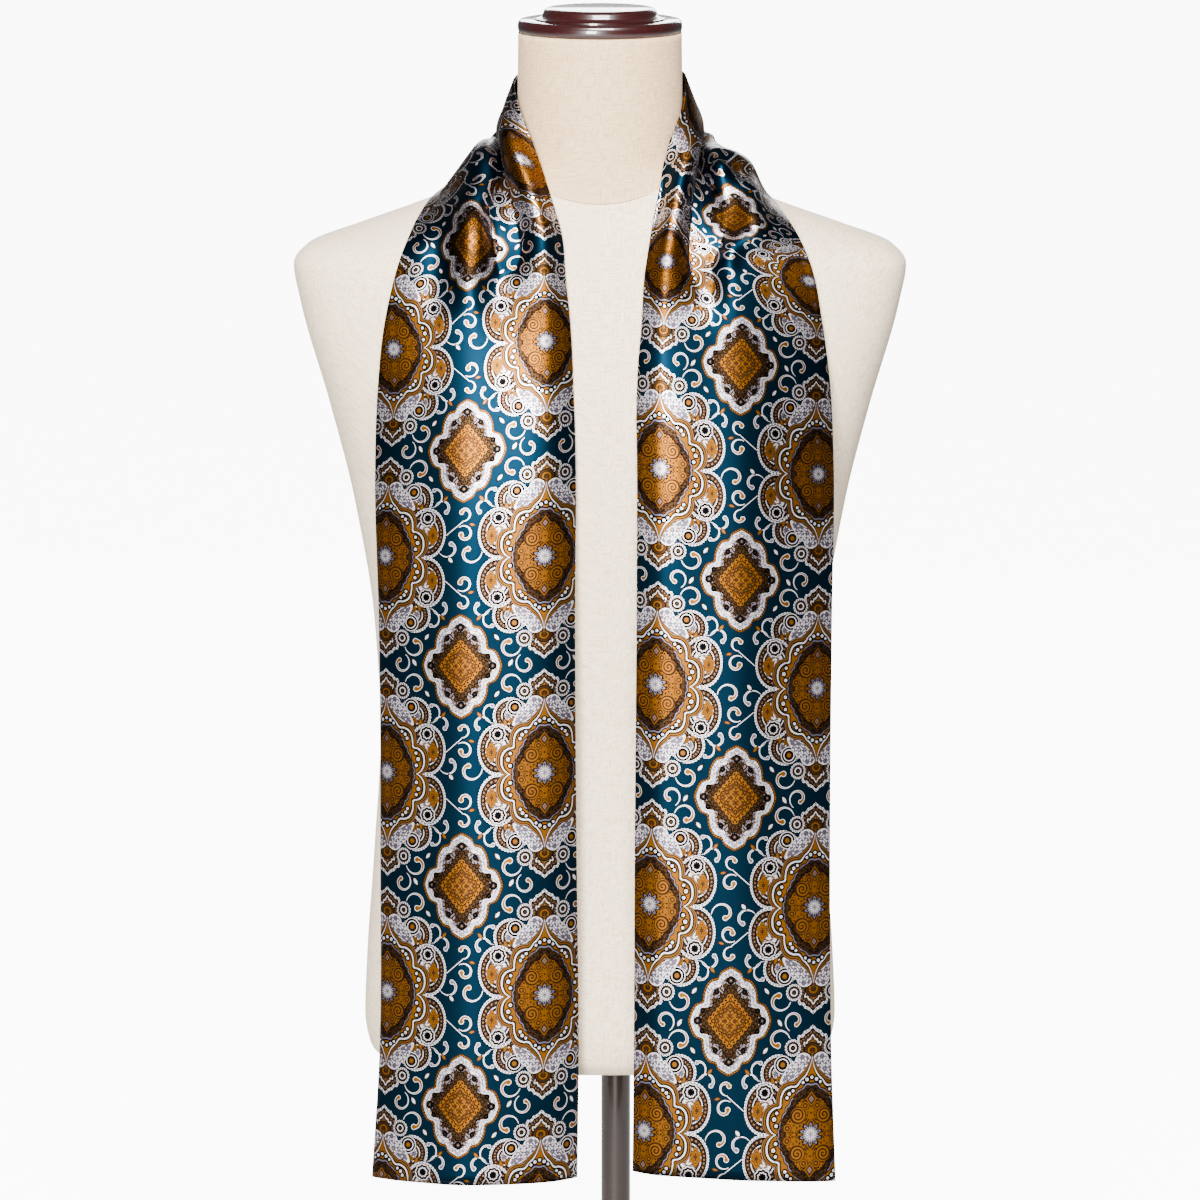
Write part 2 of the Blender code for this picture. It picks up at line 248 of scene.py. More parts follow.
def leaf(place, centre, half, tilt):
    """A pointed leaf, tilted by degrees from the across direction."""
    turned = add_node(
        place.tree, "ShaderNodeVectorRotate", {"rotation_type": "Z_AXIS"},
        {"Vector": place, "Center": (*centre, 0.0), "Angle": -math.radians(tilt)},
    )
    turned = Field(place.tree, turned.outputs[0]).vector("SUBTRACT", (*centre, 0.0))
    across, along = turned.split()
    slim = (along * (1 / half[1])).math("POWER", 2.0)
    return (across.size().scaled(1 / half[0], -1.0) + slim) * half[1]


# %% [markdown]
# ## The jacquard's repeat
# The pattern is a half-drop: large pointed medallions, with a small diamond in the middle of
# every four. Nearly all of it is the same in all four quarters of a medallion, so the cloth's
# place is folded into one quarter (`quarter`), and only that quarter is drawn. What differs
# from one end of the cloth to the other is drawn in `ends`, and what differs from its inner
# to its outer edge in `gap`, measured from the middle between two medallions. In `side` only
# the two ends are folded together. The motifs follow the old Persian and Kashmiri kinds:
# ogees, paisleys, scrolls and seeds.

# %% The repeat and its yarns
REPEAT = (125.5, 160.0)  # across and along the cloth, in steps of about a millimetre

# The yarns tint a metallic reflection, so they are darker here than they look.
TEAL = colour_of("#061A27")
INK = colour_of("#030506")
BROWN = colour_of("#24170F")
OCHRE = colour_of("#382614")
GOLD = colour_of("#7A4A10")
TAN = colour_of("#7A5B42")
WHITE = colour_of("#E0D9DE")
LILAC = colour_of("#665E6B")
CLEAR = [0.0, 0.0, 0.0, 0.0]

RIM = 0.35  # mm of ink round a scroll

# Outlines, as the distance in mm from a motif's middle, by turn in degrees.
OGEE = (
    (0, 27.0), (3, 29.6), (9, 32.7), (18, 34.9), (27, 35.4), (34, 33.9), (40, 31.4), (45, 33.4),
    (50, 35.8), (57, 37.9), (64, 37.7), (71, 36.4), (77, 38.9), (83, 41.8), (87, 46.0), (90, 54.5),
)
CROWN = (
    (-90, 12.0), (0, 12.2), (27, 12.6), (36, 14.0), (47, 16.2), (57, 15.0), (66, 16.2),
    (76, 16.4), (84, 17.6), (90, 19.4),
)
DIAMOND = (
    (0, 31.2), (10, 30.2), (23, 28.6), (33, 25.2), (42, 27.4), (54, 30.8), (63, 32.4),
    (72, 32.0), (77, 35.0), (84, 37.0), (90, 38.6),
)
print("the pattern repeats every", REPEAT[0], "mm across and", REPEAT[1], "mm along")


# %% Strokes, beads and curls
def nearest(distances):
    """Several distances as one: each place reads the smallest."""
    found = distances[0]
    for distance in distances[1:]:
        found = found.least(distance)
    return found


def lay_strokes(under, strokes, fill):
    """Lays several scrolls of one colour: ink outside, a white rim, and a filling."""
    table = ((-4.0, fill), (-0.5, WHITE), (0.0, INK), (RIM, CLEAR))
    return lay_bands(under, nearest(strokes), -4.0, 2.0, table)


def lay_beads(under, turn, edge, count, depth, half, colour):
    """A row of beads along an edge: how many in a turn, how deep in, and half their size."""
    row = (turn.wave(count) > 0.1) * ((edge + depth).size() < half)
    return lay(under, row, colour)


def curls(place, pitch, bend):
    """Worm-like curls: two waves, each bent by the other. Above zero on a curl."""
    across, along = place.split()
    count = 2 * math.pi / pitch
    first = across * count + along.wave(count * 0.8) * bend
    second = along * count + across.wave(count * 0.9, 1.0) * bend
    return first.math("COSINE") * second.math("COSINE")


# %% Scrolls, a vine and drops on the ground
def ground_scrolls(silk, quarter, ends, gap, side):
    """Scrolls, vines and drops on the teal ground between the medallions."""
    # The stem is a sloping line, 0.7 mm wide, with its two ends cut off across the cloth.
    across, along = side.split()
    stem = (along - across.scaled(-0.82, 26.9)).size() - 0.35
    stem = stem.most((across - 6.3).size() - 7.4)
    white = [
        stem,
        scroll(quarter, (47.3, 36.8), (6.9, 3.6), 172, -215, (0.1, 1.3), 1.7),
        scroll(quarter, (39.0, 47.6), (9.8, 3.0), -95, 185, (0.1, 1.0), 1.5),
        scroll(gap, (9.6, 8.4), (9.0, 3.0), -20, -215, (0.1, 1.4), 1.8),
    ]
    silk = lay_strokes(silk, white, LILAC)
    gold = [
        scroll(quarter, (25.9, 65.8), (8.6, 3.4), 172, -255, (0.2, 1.7), 2.2),
        scroll(gap, (-6.6, 4.4), (9.2, 3.0), 177, 250, (0.2, 1.5), 1.9),
        scroll(side, (-1.3, 33.2), (5.6, 2.4), -80, -250, (0.2, 1.4), 1.8),
        scroll(side, (-2.1, 18.2), (6.6, 2.5), 50, 300, (0.2, 1.5), 2.0),
        scroll(ends, (14.2, -79.4), (7.6, 3.0), 62, -300, (0.2, 1.4), 1.7),
    ]
    silk = lay_strokes(silk, gold, GOLD)
    white_drops = nearest([
        leaf(quarter, (35.6, 59.1), (3.4, 1.4), -51),
        leaf(ends, (25.2, -78.3), (3.6, 1.5), -58),
        leaf(gap, (8.2, -1.2), (3.0, 1.5), 50),
    ])
    silk = lay_bands(silk, white_drops, -2.0, 1.0, (
        (-2.0, WHITE), (-0.45, OCHRE), (0.0, INK), (0.3, CLEAR),
    ))
    gold_drops = nearest([
        leaf(quarter, (48.8, 44.3), (3.0, 1.3), 50),
        leaf(side, (-7.8, 25.2), (2.8, 1.1), 14),
    ])
    return lay_bands(silk, gold_drops, -2.0, 1.0, (
        (-2.0, GOLD), (-0.35, BROWN), (0.2, CLEAR),
    ))


# %% [markdown]
# ## A medallion, from its outline inwards
# Each function lays one ornament over those before it: the crown at the top, a paisley at
# the shoulder, a large lobe at the side, then the ogee's rings with their pearls, and last
# the gold field. The fine worm-like curls stand for the scrolls that fill every blank, which
# are too small to draw one by one. No line is under half a millimetre, or it wouldn't show.

# %% The crown
def crown(silk, quarter):
    """The stepped, beaded top of a medallion, its shell, and the small curl beside it."""
    middle = (0.0, 57.0)
    turn = bearing(quarter, middle)
    degrees = turn * (180 / math.pi)
    edge = near(quarter, middle) - read_curve(degrees, -90, 90, 30.0, CROWN)
    edge = edge + turn.wave(40.0) * 0.16
    silk = lay_bands(silk, edge, -16.0, 2.0, (
        (-16.0, TAN), (-10.4, BROWN), (-9.4, GOLD), (-8.6, INK), (-7.5, WHITE), (-6.4, INK),
        (-5.6, OCHRE), (-4.8, BROWN), (-2.8, INK), (-1.9, WHITE), (0.0, INK), (0.5, CLEAR),
    ))
    silk = lay_beads(silk, turn, edge, 40.0, 0.8, 0.45, BROWN)
    silk = lay_beads(silk, turn, edge, 34.0, 3.8, 0.5, TAN)
    shell = oval(quarter, (0.0, 58.4), (6.6, 5.8))
    silk = lay_bands(silk, shell, 0.0, 1.2, (
        (0.0, OCHRE), (0.25, INK), (0.33, GOLD), (0.55, BROWN), (0.65, OCHRE), (0.88, INK),
        (1.0, CLEAR),
    ))
    beside = (14.9, 60.5)
    curl = near(quarter, beside)
    turn = bearing(quarter, beside)
    silk = lay_bands(silk, curl + turn.wave(16.0) * 0.2, 0.0, 8.0, (
        (0.0, OCHRE), (0.9, INK), (1.9, WHITE), (2.7, INK), (3.3, BROWN), (4.6, WHITE),
        (5.9, INK), (6.4, CLEAR),
    ))
    return lay_beads(silk, turn, curl, 18.0, -5.2, 0.4, BROWN)


# %% The paisley at the shoulder
def corner_paisley(silk, quarter, worms):
    """The beaded paisley at a medallion's shoulder, curled round a gold eye."""
    middle = (25.4, 43.2)
    turn = bearing(quarter, middle)
    edge = oval(quarter, middle, (13.2, 13.0)).scaled(13.0, -13.0) + turn.wave(34.0) * 0.2
    silk = lay_bands(silk, edge, -13.0, 1.0, (
        (-13.0, LILAC), (-8.6, OCHRE), (-7.7, INK), (-6.9, WHITE), (-6.2, INK), (-5.4, BROWN),
        (-2.6, INK), (-1.7, WHITE), (0.0, INK), (0.5, CLEAR),
    ))
    inside = edge < -8.6
    silk = lay(silk, inside * (worms > 0.3), WHITE)
    silk = lay(silk, inside * (worms.size() < 0.16), BROWN)
    silk = lay_beads(silk, turn, edge, 34.0, 0.8, 0.45, BROWN)
    silk = lay_beads(silk, turn, edge, 26.0, 4.0, 0.6, TAN)
    flame = leaf(quarter, (29.4, 37.0), (7.0, 1.9), 76)
    silk = lay_bands(silk, flame, -3.0, 1.0, (
        (-3.0, GOLD), (-1.0, BROWN), (-0.5, OCHRE), (0.0, CLEAR),
    ))
    eye = near(quarter, (22.3, 48.9))
    silk = lay_bands(silk, eye, 0.0, 8.0, (
        (0.0, GOLD), (1.7, BROWN), (2.4, INK), (3.6, WHITE), (4.3, INK), (5.0, BROWN),
        (5.8, WHITE), (6.4, INK), (7.0, CLEAR),
    ))
    knots = near(quarter, (24.2, 38.8)).least(near(quarter, (17.6, 41.8)))
    return lay_bands(silk, knots, 0.0, 4.0, (
        (0.0, GOLD), (0.9, BROWN), (1.5, GOLD), (2.4, BROWN), (2.9, CLEAR),
    ))


# %% The lobe at the side
def side_lobe(silk, quarter, worms):
    """The large lobe at a medallion's side, with a gold flower and a curl."""
    middle = (35.2, 18.3)
    turn = bearing(quarter, middle)
    edge = oval(quarter, middle, (15.0, 18.8)).scaled(16.5, -16.5) + turn.wave(44.0) * 0.2
    silk = lay_bands(silk, edge, -16.5, 1.0, (
        (-16.5, WHITE), (-12.8, OCHRE), (-11.6, WHITE), (-8.9, OCHRE), (-7.9, INK), (-7.1, WHITE),
        (-6.4, INK), (-5.5, BROWN), (-2.6, INK), (-1.7, WHITE), (0.0, INK), (0.5, CLEAR),
    ))
    silk = lay(silk, (edge < -8.9) * (worms < -0.2), TAN)
    silk = lay_beads(silk, turn, edge, 44.0, 0.8, 0.45, BROWN)
    silk = lay_beads(silk, turn, edge, 26.0, 4.0, 0.6, TAN)
    bloom = (40.0, 16.6)
    flower = oval(quarter, bloom, (3.9, 5.8)) + bearing(quarter, bloom).wave(6.0) * 0.14
    silk = lay_bands(silk, flower, 0.0, 2.0, (
        (0.0, OCHRE), (0.35, GOLD), (0.62, OCHRE), (0.72, GOLD), (1.05, BROWN), (1.15, CLEAR),
    ))
    eye = (35.2, 29.6)
    curl = near(quarter, eye) + bearing(quarter, eye).wave(9.0) * 0.3
    return lay_bands(silk, curl, 0.0, 8.0, (
        (0.0, INK), (2.0, BROWN), (2.8, WHITE), (3.6, INK), (4.4, BROWN), (5.4, WHITE),
        (6.1, INK), (6.7, CLEAR),
    ))


# %% The ogee's rings and pearls
PEARLS = (
    ((26.0, 6.2), 1.4), ((27.6, 10.9), 1.6), ((25.8, 15.2), 1.3),
    ((18.4, 25.8), 1.3), ((16.8, 28.6), 1.4), ((14.0, 30.6), 1.2),
    ((6.6, 36.2), 1.2), ((3.6, 38.2), 1.4), ((0.0, 39.6), 1.3),
)


def ogee(silk, quarter, turn, worms):
    """The lobed rings round the gold field, the pearls in them and the white leaves."""
    blade = leaf(quarter, (13.0, 45.4), (14.5, 5.4), -42)
    blade = blade.least(near(quarter, (6.8, 50.6)) - 6.2)
    silk = lay_bands(silk, blade, -8.0, 1.0, (
        (-8.0, LILAC), (-0.9, WHITE), (0.0, BROWN), (0.6, CLEAR),
    ))
    inside = blade < -0.9
    silk = lay(silk, inside * (worms > 0.2), WHITE)
    silk = lay(silk, inside * ((worms + 0.3).size() < 0.14), BROWN)
    degrees = turn * (180 / math.pi)
    edge = quarter.vector("LENGTH") - read_curve(degrees, 0, 90, 60.0, OGEE)
    silk = lay_bands(silk, edge, -20.0, 9.0, (
        (-20.0, GOLD), (-3.1, OCHRE), (-2.3, INK), (-1.4, WHITE), (-0.1, INK), (0.6, OCHRE),
        (1.3, GOLD), (2.2, INK), (2.8, TAN), (3.5, BROWN), (4.1, CLEAR),
    ))
    pearls = nearest([near(quarter, place) - size for place, size in PEARLS])
    return lay_bands(silk, pearls, -2.0, 1.0, (
        (-2.0, LILAC), (-1.1, WHITE), (-0.2, INK), (0.9, CLEAR),
    ))


# %% The gold field and its rosette
def gold_field(silk, quarter, turn, worms):
    """The gold field with its scrolls, and the white rosette in the middle."""
    # The field is an oval whose ends are drawn out to points, by powers below two.
    rim = quarter.vector("MULTIPLY", (1 / 24.0, 1 / 34.6, 0.0)).vector("POWER", (1.65, 1.5, 1.0))
    rim = rim.vector("DOT_PRODUCT", (1.0, 1.0, 0.0)) + turn.wave(28.0) * 0.03
    silk = lay_bands(silk, rim, 0.0, 1.2, (
        (0.0, OCHRE), (0.96, INK), (0.99, LILAC), (1.05, INK), (1.09, CLEAR),
    ))
    # The field's inner line has eight soft lobes in place of the rim's fine ones.
    lobes = rim + turn.wave(8.0) * 0.05 - turn.wave(28.0) * 0.03
    silk = lay_bands(silk, lobes, 0.6, 1.2, (
        (0.6, CLEAR), (0.70, INK), (0.73, BROWN), (0.98, CLEAR),
    ))
    silk = lay(silk, ((lobes - 0.86).size() < 0.08) * (worms > 0.15), OCHRE)
    inside = lobes < 0.70
    silk = lay(silk, inside * (worms > -0.25), GOLD)
    silk = lay(silk, inside * ((worms - 0.35).size() < 0.13), BROWN)
    silk = lay(silk, (lobes < 0.96) * (worms < -0.55), INK)
    # A line that winds round a point, a brown ring from 5.4 mm, and nothing past 6 mm.
    spoke = quarter.vector("SUBTRACT", (9.9, 13.4, 0.0))
    span = spoke.vector("LENGTH")
    across, along = spoke.split()
    winding = (along.math("ARCTAN2", across) + span * 2.6).math("COSINE")
    winding = winding + (span > 5.4) * 9.0 + (span > 6.0) * 9.0
    silk = lay_bands(silk, winding, -1.0, 12.0, (
        (-1.0, GOLD), (0.1, OCHRE), (0.45, BROWN), (11.0, CLEAR),
    ))
    ring = near(quarter, (17.6, 4.4)).least(near(quarter, (4.6, 20.0)))
    silk = lay_bands(silk, ring, 0.0, 7.0, (
        (0.0, GOLD), (0.9, BROWN), (1.3, OCHRE), (2.0, GOLD), (2.7, BROWN), (3.2, CLEAR),
    ))
    bud = quarter.vector("SUBTRACT", (0.0, 24.6, 0.0)).vector("ABSOLUTE")
    bud = bud.vector("DOT_PRODUCT", (1 / 3.6, 1 / 4.6, 0.0))
    silk = lay_bands(silk, bud, 0.0, 1.5, (
        (0.0, GOLD), (0.3, LILAC), (0.5, OCHRE), (0.8, BROWN), (0.9, GOLD), (1.15, BROWN),
        (1.28, CLEAR),
    ))
    petals = quarter.vector("LENGTH") * (1 / 8.8) + turn.wave(10.0) * 0.17
    silk = lay_bands(silk, petals, 0.0, 1.2, (
        (0.0, OCHRE), (0.10, INK), (0.18, WHITE), (0.50, LILAC), (0.76, INK), (0.90, CLEAR),
    ))
    veins = (turn.wave(10.0) < -0.72) * ((petals - 0.36).size() < 0.22)
    return lay(silk, veins, BROWN)


# %% The diamond between four medallions
def diamond(silk, quarter):
    """The small diamond between four medallions, in its own folded quarter."""
    across, along = quarter.split()
    degrees = along.math("ARCTAN2", across) * (180 / math.pi)
    worms = curls(quarter, pitch=5.2, bend=1.5)
    # The diamond's sides slope, so their beads and teeth are counted down that slope.
    slide = along * (1 / 38.5) - across * (1 / 31.5)
    edge = quarter.vector("LENGTH") - read_curve(degrees, 0, 90, 40.0, DIAMOND)
    silk = lay_bands(silk, edge, -12.0, 1.0, (
        (-12.0, WHITE), (-4.4, BROWN), (-4.0, WHITE), (-1.8, INK), (-1.3, OCHRE), (0.0, BROWN),
        (0.4, CLEAR),
    ))
    silk = lay(silk, (slide.wave(80.0) > -0.1) * ((edge + 0.7).size() < 0.5), GOLD)
    lace, middle = edge < -1.9, edge < -6.4
    silk = lay(silk, lace * (worms < -0.35), LILAC)
    silk = lay(silk, lace * ((worms - 0.3).size() < 0.16), BROWN)
    silk = lay(silk, middle * (worms > 0.1), BROWN)
    silk = lay(silk, middle * (worms.size() < 0.3), OCHRE)
    shape = quarter.vector("DOT_PRODUCT", (1 / 21.4, 1 / 24.9, 0.0)) + slide.wave(38.0) * 0.03
    eyes = nearest([
        near(quarter, (24.0, 0.0)), near(quarter, (0.0, 28.6)),
        near(quarter, (20.6, 7.2)) + 0.9, near(quarter, (10.4, 20.6)) + 0.9,
    ])
    silk = lay_bands(silk, eyes, 0.0, 4.0, (
        (0.0, LILAC), (0.6, OCHRE), (1.4, INK), (3.0, CLEAR),
    ))
    silk = lay_bands(silk, shape, 0.0, 1.2, (
        (0.0, GOLD), (0.46, BROWN), (0.50, GOLD), (0.61, INK), (0.66, GOLD), (0.80, OCHRE),
        (0.84, INK), (0.88, OCHRE), (1.02, INK), (1.08, CLEAR),
    ))
    silk = lay(silk, (slide.wave(46.0) > 0.1) * ((shape - 0.73).size() < 0.035), INK)
    silk = lay(silk, (slide.wave(52.0, 1.5) > 0.0) * ((shape - 0.95).size() < 0.035), INK)
    silk = lay(silk, (shape < 0.61) * (worms.size() < 0.22), BROWN)
    petals = nearest([
        near(quarter, (0.0, 10.4)), near(quarter, (3.8, 7.6)), near(quarter, (6.8, 4.0)),
        near(quarter, (9.8, 0.0)), near(quarter, (0.0, 3.6)) + 0.5,
        near(quarter, (3.6, 0.0)) + 0.5,
    ])
    return lay_bands(silk, petals, 0.0, 4.0, (
        (0.0, GOLD), (0.5, OCHRE), (1.1, BROWN), (1.6, GOLD), (1.75, BROWN), (2.1, CLEAR),
    ))


# %% The whole repeat
LOW_END = 60.0  # mm, where `ends` starts its repeat, past the medallion's middle


def joined(across, along):
    """A place from its two parts."""
    made = add_node(across.tree, "ShaderNodeCombineXYZ", {}, {"X": across, "Y": along})
    return Field(across.tree, made.outputs[0])


def jacquard(tree, place):
    """The silk's colour. The place on the cloth is in mm, across and along."""
    half = (REPEAT[0] / 2, REPEAT[1] / 2, 1.0)
    back = (-REPEAT[0] / 2, -REPEAT[1] / 2, -1.0)
    quarter = place.vector("WRAP", half, back).vector("ABSOLUTE")
    ends = place.vector("WRAP", (half[0], LOW_END, 1.0), (back[0], LOW_END - REPEAT[1], -1.0))
    ends_across, ends_along = ends.split()
    ends = joined(ends_across.size(), ends_along)
    gap = place.vector("SUBTRACT", (half[0], 0.0, 0.0)).vector("WRAP", half, back)
    gap_across, gap_along = gap.split()
    side = joined(gap_across, gap_along.size())
    other = quarter.vector("MULTIPLY_ADD", (-1.0, -1.0, 0.0), (half[0], half[1], 0.0))

    across, along = quarter.split()
    turn = along.math("ARCTAN2", across)
    worms = curls(quarter, pitch=4.4, bend=1.5)

    ground = add_node(tree, "ShaderNodeRGB")
    ground.outputs[0].default_value = TEAL
    silk = Field(tree, ground.outputs[0])
    silk = ground_scrolls(silk, quarter, ends, gap, side)
    silk = crown(silk, quarter)
    silk = corner_paisley(silk, quarter, worms)
    silk = side_lobe(silk, quarter, worms)
    silk = ogee(silk, quarter, turn, worms)
    silk = gold_field(silk, quarter, turn, worms)
    return diamond(silk, other)


# %% [markdown]
# ## Smooth curves through short tables
# Cloth and form are both worked out from a few measured cuts. `smooth_through` never swings
# past a table's values, which suits outlines. `even_curve` turns more roundly, which suits
# the two folded edges that run along the scarf. Both join their points by cubics, and differ
# only in the slope at each point.

# %% Curves through a table
def smooth_through(places, values, at):
    """A curve that keeps between its points: its slope is a mean that is never too steep."""
    places = np.asarray(places, float)
    values = np.asarray(values, float)
    steps = np.diff(places)
    slopes = np.diff(values) / steps
    ends = np.zeros_like(values)
    ends[0], ends[-1] = slopes[0], slopes[-1]
    same_way = slopes[:-1] * slopes[1:] > 0
    before = 2 * steps[1:] + steps[:-1]
    after = steps[1:] + 2 * steps[:-1]
    with np.errstate(divide="ignore", invalid="ignore"):
        mixed = (before + after) / (before / slopes[:-1] + after / slopes[1:])
    ends[1:-1] = np.where(same_way, mixed, 0.0)
    return hermite(places, values, ends, at)


def even_curve(places, values, at):
    """A rounder curve: its slope at a point comes from the points on either side."""
    places = np.asarray(places, float)
    values = np.asarray(values, float)
    return hermite(places, values, np.gradient(values, places), at)


def hermite(places, values, slopes, at):
    """Cubics between points with given slopes, held level beyond the two ends."""
    at = np.clip(at, places[0], places[-1])
    cell = np.clip(np.searchsorted(places, at, side="right") - 1, 0, len(places) - 2)
    step = places[cell + 1] - places[cell]
    share = (at - places[cell]) / step
    rise = values[cell + 1] - values[cell]
    start, end = slopes[cell] * step, slopes[cell + 1] * step
    curve = start + (3 * rise - 2 * start - end) * share
    curve += (start + end - 2 * rise) * share**2
    return values[cell] + curve * share


# %% [markdown]
# ## The dress form's cuts
# A level cut through the form is a rounded oblong. Squareness 2 is an ellipse, and more is
# squarer. The table runs from the top of the neck to the flat underside, measured down from
# the cap's top. The scarf is laid against this same shape, so that it rests on the linen
# everywhere and never sinks into it.

# %% The form's cuts, in metres
TOP = 1.100  # m, from the floor to the cap's top

FORM_COLUMNS = ("down", "half_width", "front", "back", "squareness")
FORM_CUTS = (
    (0.0183, 0.0605, 0.0605, 0.0605, 2.00),
    (0.0980, 0.0618, 0.0615, 0.0640, 2.00),
    (0.1100, 0.0650, 0.0620, 0.0680, 2.00),
    (0.1180, 0.0725, 0.0628, 0.0715, 2.05),
    (0.1270, 0.0885, 0.0638, 0.0750, 2.10),
    (0.1365, 0.1125, 0.0658, 0.0785, 2.15),
    (0.1485, 0.1440, 0.0695, 0.0825, 2.25),
    (0.1620, 0.1820, 0.0750, 0.0875, 2.40),
    (0.1760, 0.2175, 0.0800, 0.0930, 2.50),
    (0.1890, 0.2275, 0.0840, 0.0980, 2.60),
    (0.2180, 0.2225, 0.0915, 0.1060, 2.60),
    (0.2930, 0.2015, 0.1020, 0.1150, 2.50),
    (0.3690, 0.1830, 0.0985, 0.1100, 2.40),
    (0.4600, 0.1690, 0.0890, 0.0950, 2.40),
    (0.5400, 0.1650, 0.0820, 0.0880, 2.40),
    (0.6360, 0.1705, 0.0805, 0.1000, 2.40),
    (0.7200, 0.1765, 0.0820, 0.1120, 2.40),
    (0.7600, 0.1780, 0.0825, 0.1130, 2.40),
    (0.7820, 0.1745, 0.0795, 0.1095, 2.40),
    (0.7930, 0.1655, 0.0710, 0.1010, 2.40),
    (0.7960, 0.1550, 0.0610, 0.0905, 2.40),
)
FORM_TABLE = np.array(FORM_CUTS)
print("the form stands from", round(TOP - FORM_CUTS[-1][0], 3), "m to", TOP, "m with its cap")


# %% How near a point is to the form
PROBE = 0.0005  # m, how far apart the slope is read
LAYING_ROUNDS = 6
LONGEST_PUSH = 0.01  # m, for one round


def form_cut(down):
    """Half width, front, back and squareness of the form this far below the cap's top."""
    return [
        smooth_through(FORM_TABLE[:, 0], FORM_TABLE[:, FORM_COLUMNS.index(name)], down)
        for name in FORM_COLUMNS[1:]
    ]


def share_of_cut(points):
    """Below zero inside the form, zero on its skin and above zero outside."""
    half_width, front, back, squareness = form_cut(TOP - points[..., 2])
    depth = np.where(points[..., 1] < 0, front, back)
    across = np.abs(points[..., 0]) / half_width
    through = np.abs(points[..., 1]) / depth
    return (across**squareness + through**squareness) ** (1 / squareness) - 1


def lay_on_form(points, clearance):
    """Moves out the points that are nearer to the form than the clearance."""
    for _ in range(LAYING_ROUNDS):
        slope = np.stack(
            [
                (share_of_cut(points + move) - share_of_cut(points - move)) / (2 * PROBE)
                for move in np.eye(3) * PROBE
            ],
            axis=-1,
        )
        steepness = np.linalg.norm(slope, axis=-1, keepdims=True)
        gap = share_of_cut(points) / steepness[..., 0]
        push = np.clip(clearance - gap, 0, LONGEST_PUSH)
        points = points + slope / steepness * push[..., None]
    return points


# %% [markdown]
# ## The scarf's cross cuts
# The band is described by cuts across it, from the back of the neck to each hem. A cut
# starts as a straight line from the inner fold, beside the neck, to the outer fold, over the
# shoulder. The cloth stands off that line: a roll beside the neck, then a valley, then the
# flap that lies over the shoulder. The two folds curl back by the drops. A cloth simulation
# would find its own folds. A table puts them where the photographed ones are, and keeps the
# fine sheet on the plain solids. Along the band, the left tail counts below zero.

# %% The cuts, in metres
BAND_COLUMNS = (
    "along",
    "in_out", "in_front", "in_down",
    "out_out", "out_front", "out_down",
    "roll", "valley", "flap",
    "in_drop", "out_drop",
)
LEFT_CUTS = (
    (0.050, 0.0440, -0.0470, 0.0510, 0.0500, -0.0920, 0.1620, 0.0030, 0.0020, 0.0040, 0, 0),
    (0.100, 0.0635, -0.0050, 0.0550, 0.0880, -0.0620, 0.1500, 0.0010, 0.0000, 0.0040, 0, 0),
    (0.135, 0.0590, 0.0260, 0.0730, 0.1080, -0.0280, 0.1395, 0.0050, -0.0040, 0.0080, 0, 0),
    (0.160, 0.0500, 0.0420, 0.0940, 0.1165, -0.0020, 0.1380, 0.0100, -0.0080, 0.0140, 0, 0),
    (0.185, 0.0420, 0.0540, 0.1150, 0.1245, 0.0210, 0.1445, 0.0130, -0.0100, 0.0140, 0, 0),
    (0.210, 0.0345, 0.0650, 0.1370, 0.1330, 0.0430, 0.1530, 0.0130, -0.0090, 0.0130, 0, 0),
    (0.240, 0.0275, 0.0770, 0.1620, 0.1430, 0.0660, 0.1700, 0.0110, -0.0030, 0.0120, 0, 0),
    (0.270, 0.0252, 0.0880, 0.1900, 0.1510, 0.0760, 0.1940, 0.0090, 0.0040, 0.0110, 0.001, 0),
    (0.300, 0.0225, 0.0970, 0.2180, 0.1575, 0.0800, 0.2240, 0.0080, 0.0085, 0.0110, 0.002, 0.001),
    (0.350, 0.0200, 0.1050, 0.2670, 0.1628, 0.0820, 0.2730, 0.0085, 0.0115, 0.0135, 0.003, 0.002),
    (0.410, 0.0185, 0.1090, 0.3270, 0.1650, 0.0860, 0.3330, 0.0095, 0.0140, 0.0160, 0.003, 0.003),
    (0.520, 0.0190, 0.1085, 0.4370, 0.1628, 0.0880, 0.4435, 0.0105, 0.0160, 0.0185, 0.003, 0.003),
    (0.700, 0.0180, 0.1060, 0.6170, 0.1625, 0.0890, 0.6240, 0.0115, 0.0185, 0.0205, 0.003, 0.003),
    (0.850, 0.0165, 0.1030, 0.7680, 0.1640, 0.0920, 0.7735, 0.0125, 0.0200, 0.0220, 0.003, 0.003),
    (0.945, 0.0175, 0.1030, 0.8640, 0.1700, 0.0930, 0.8665, 0.0125, 0.0205, 0.0225, 0.003, 0.003),
)
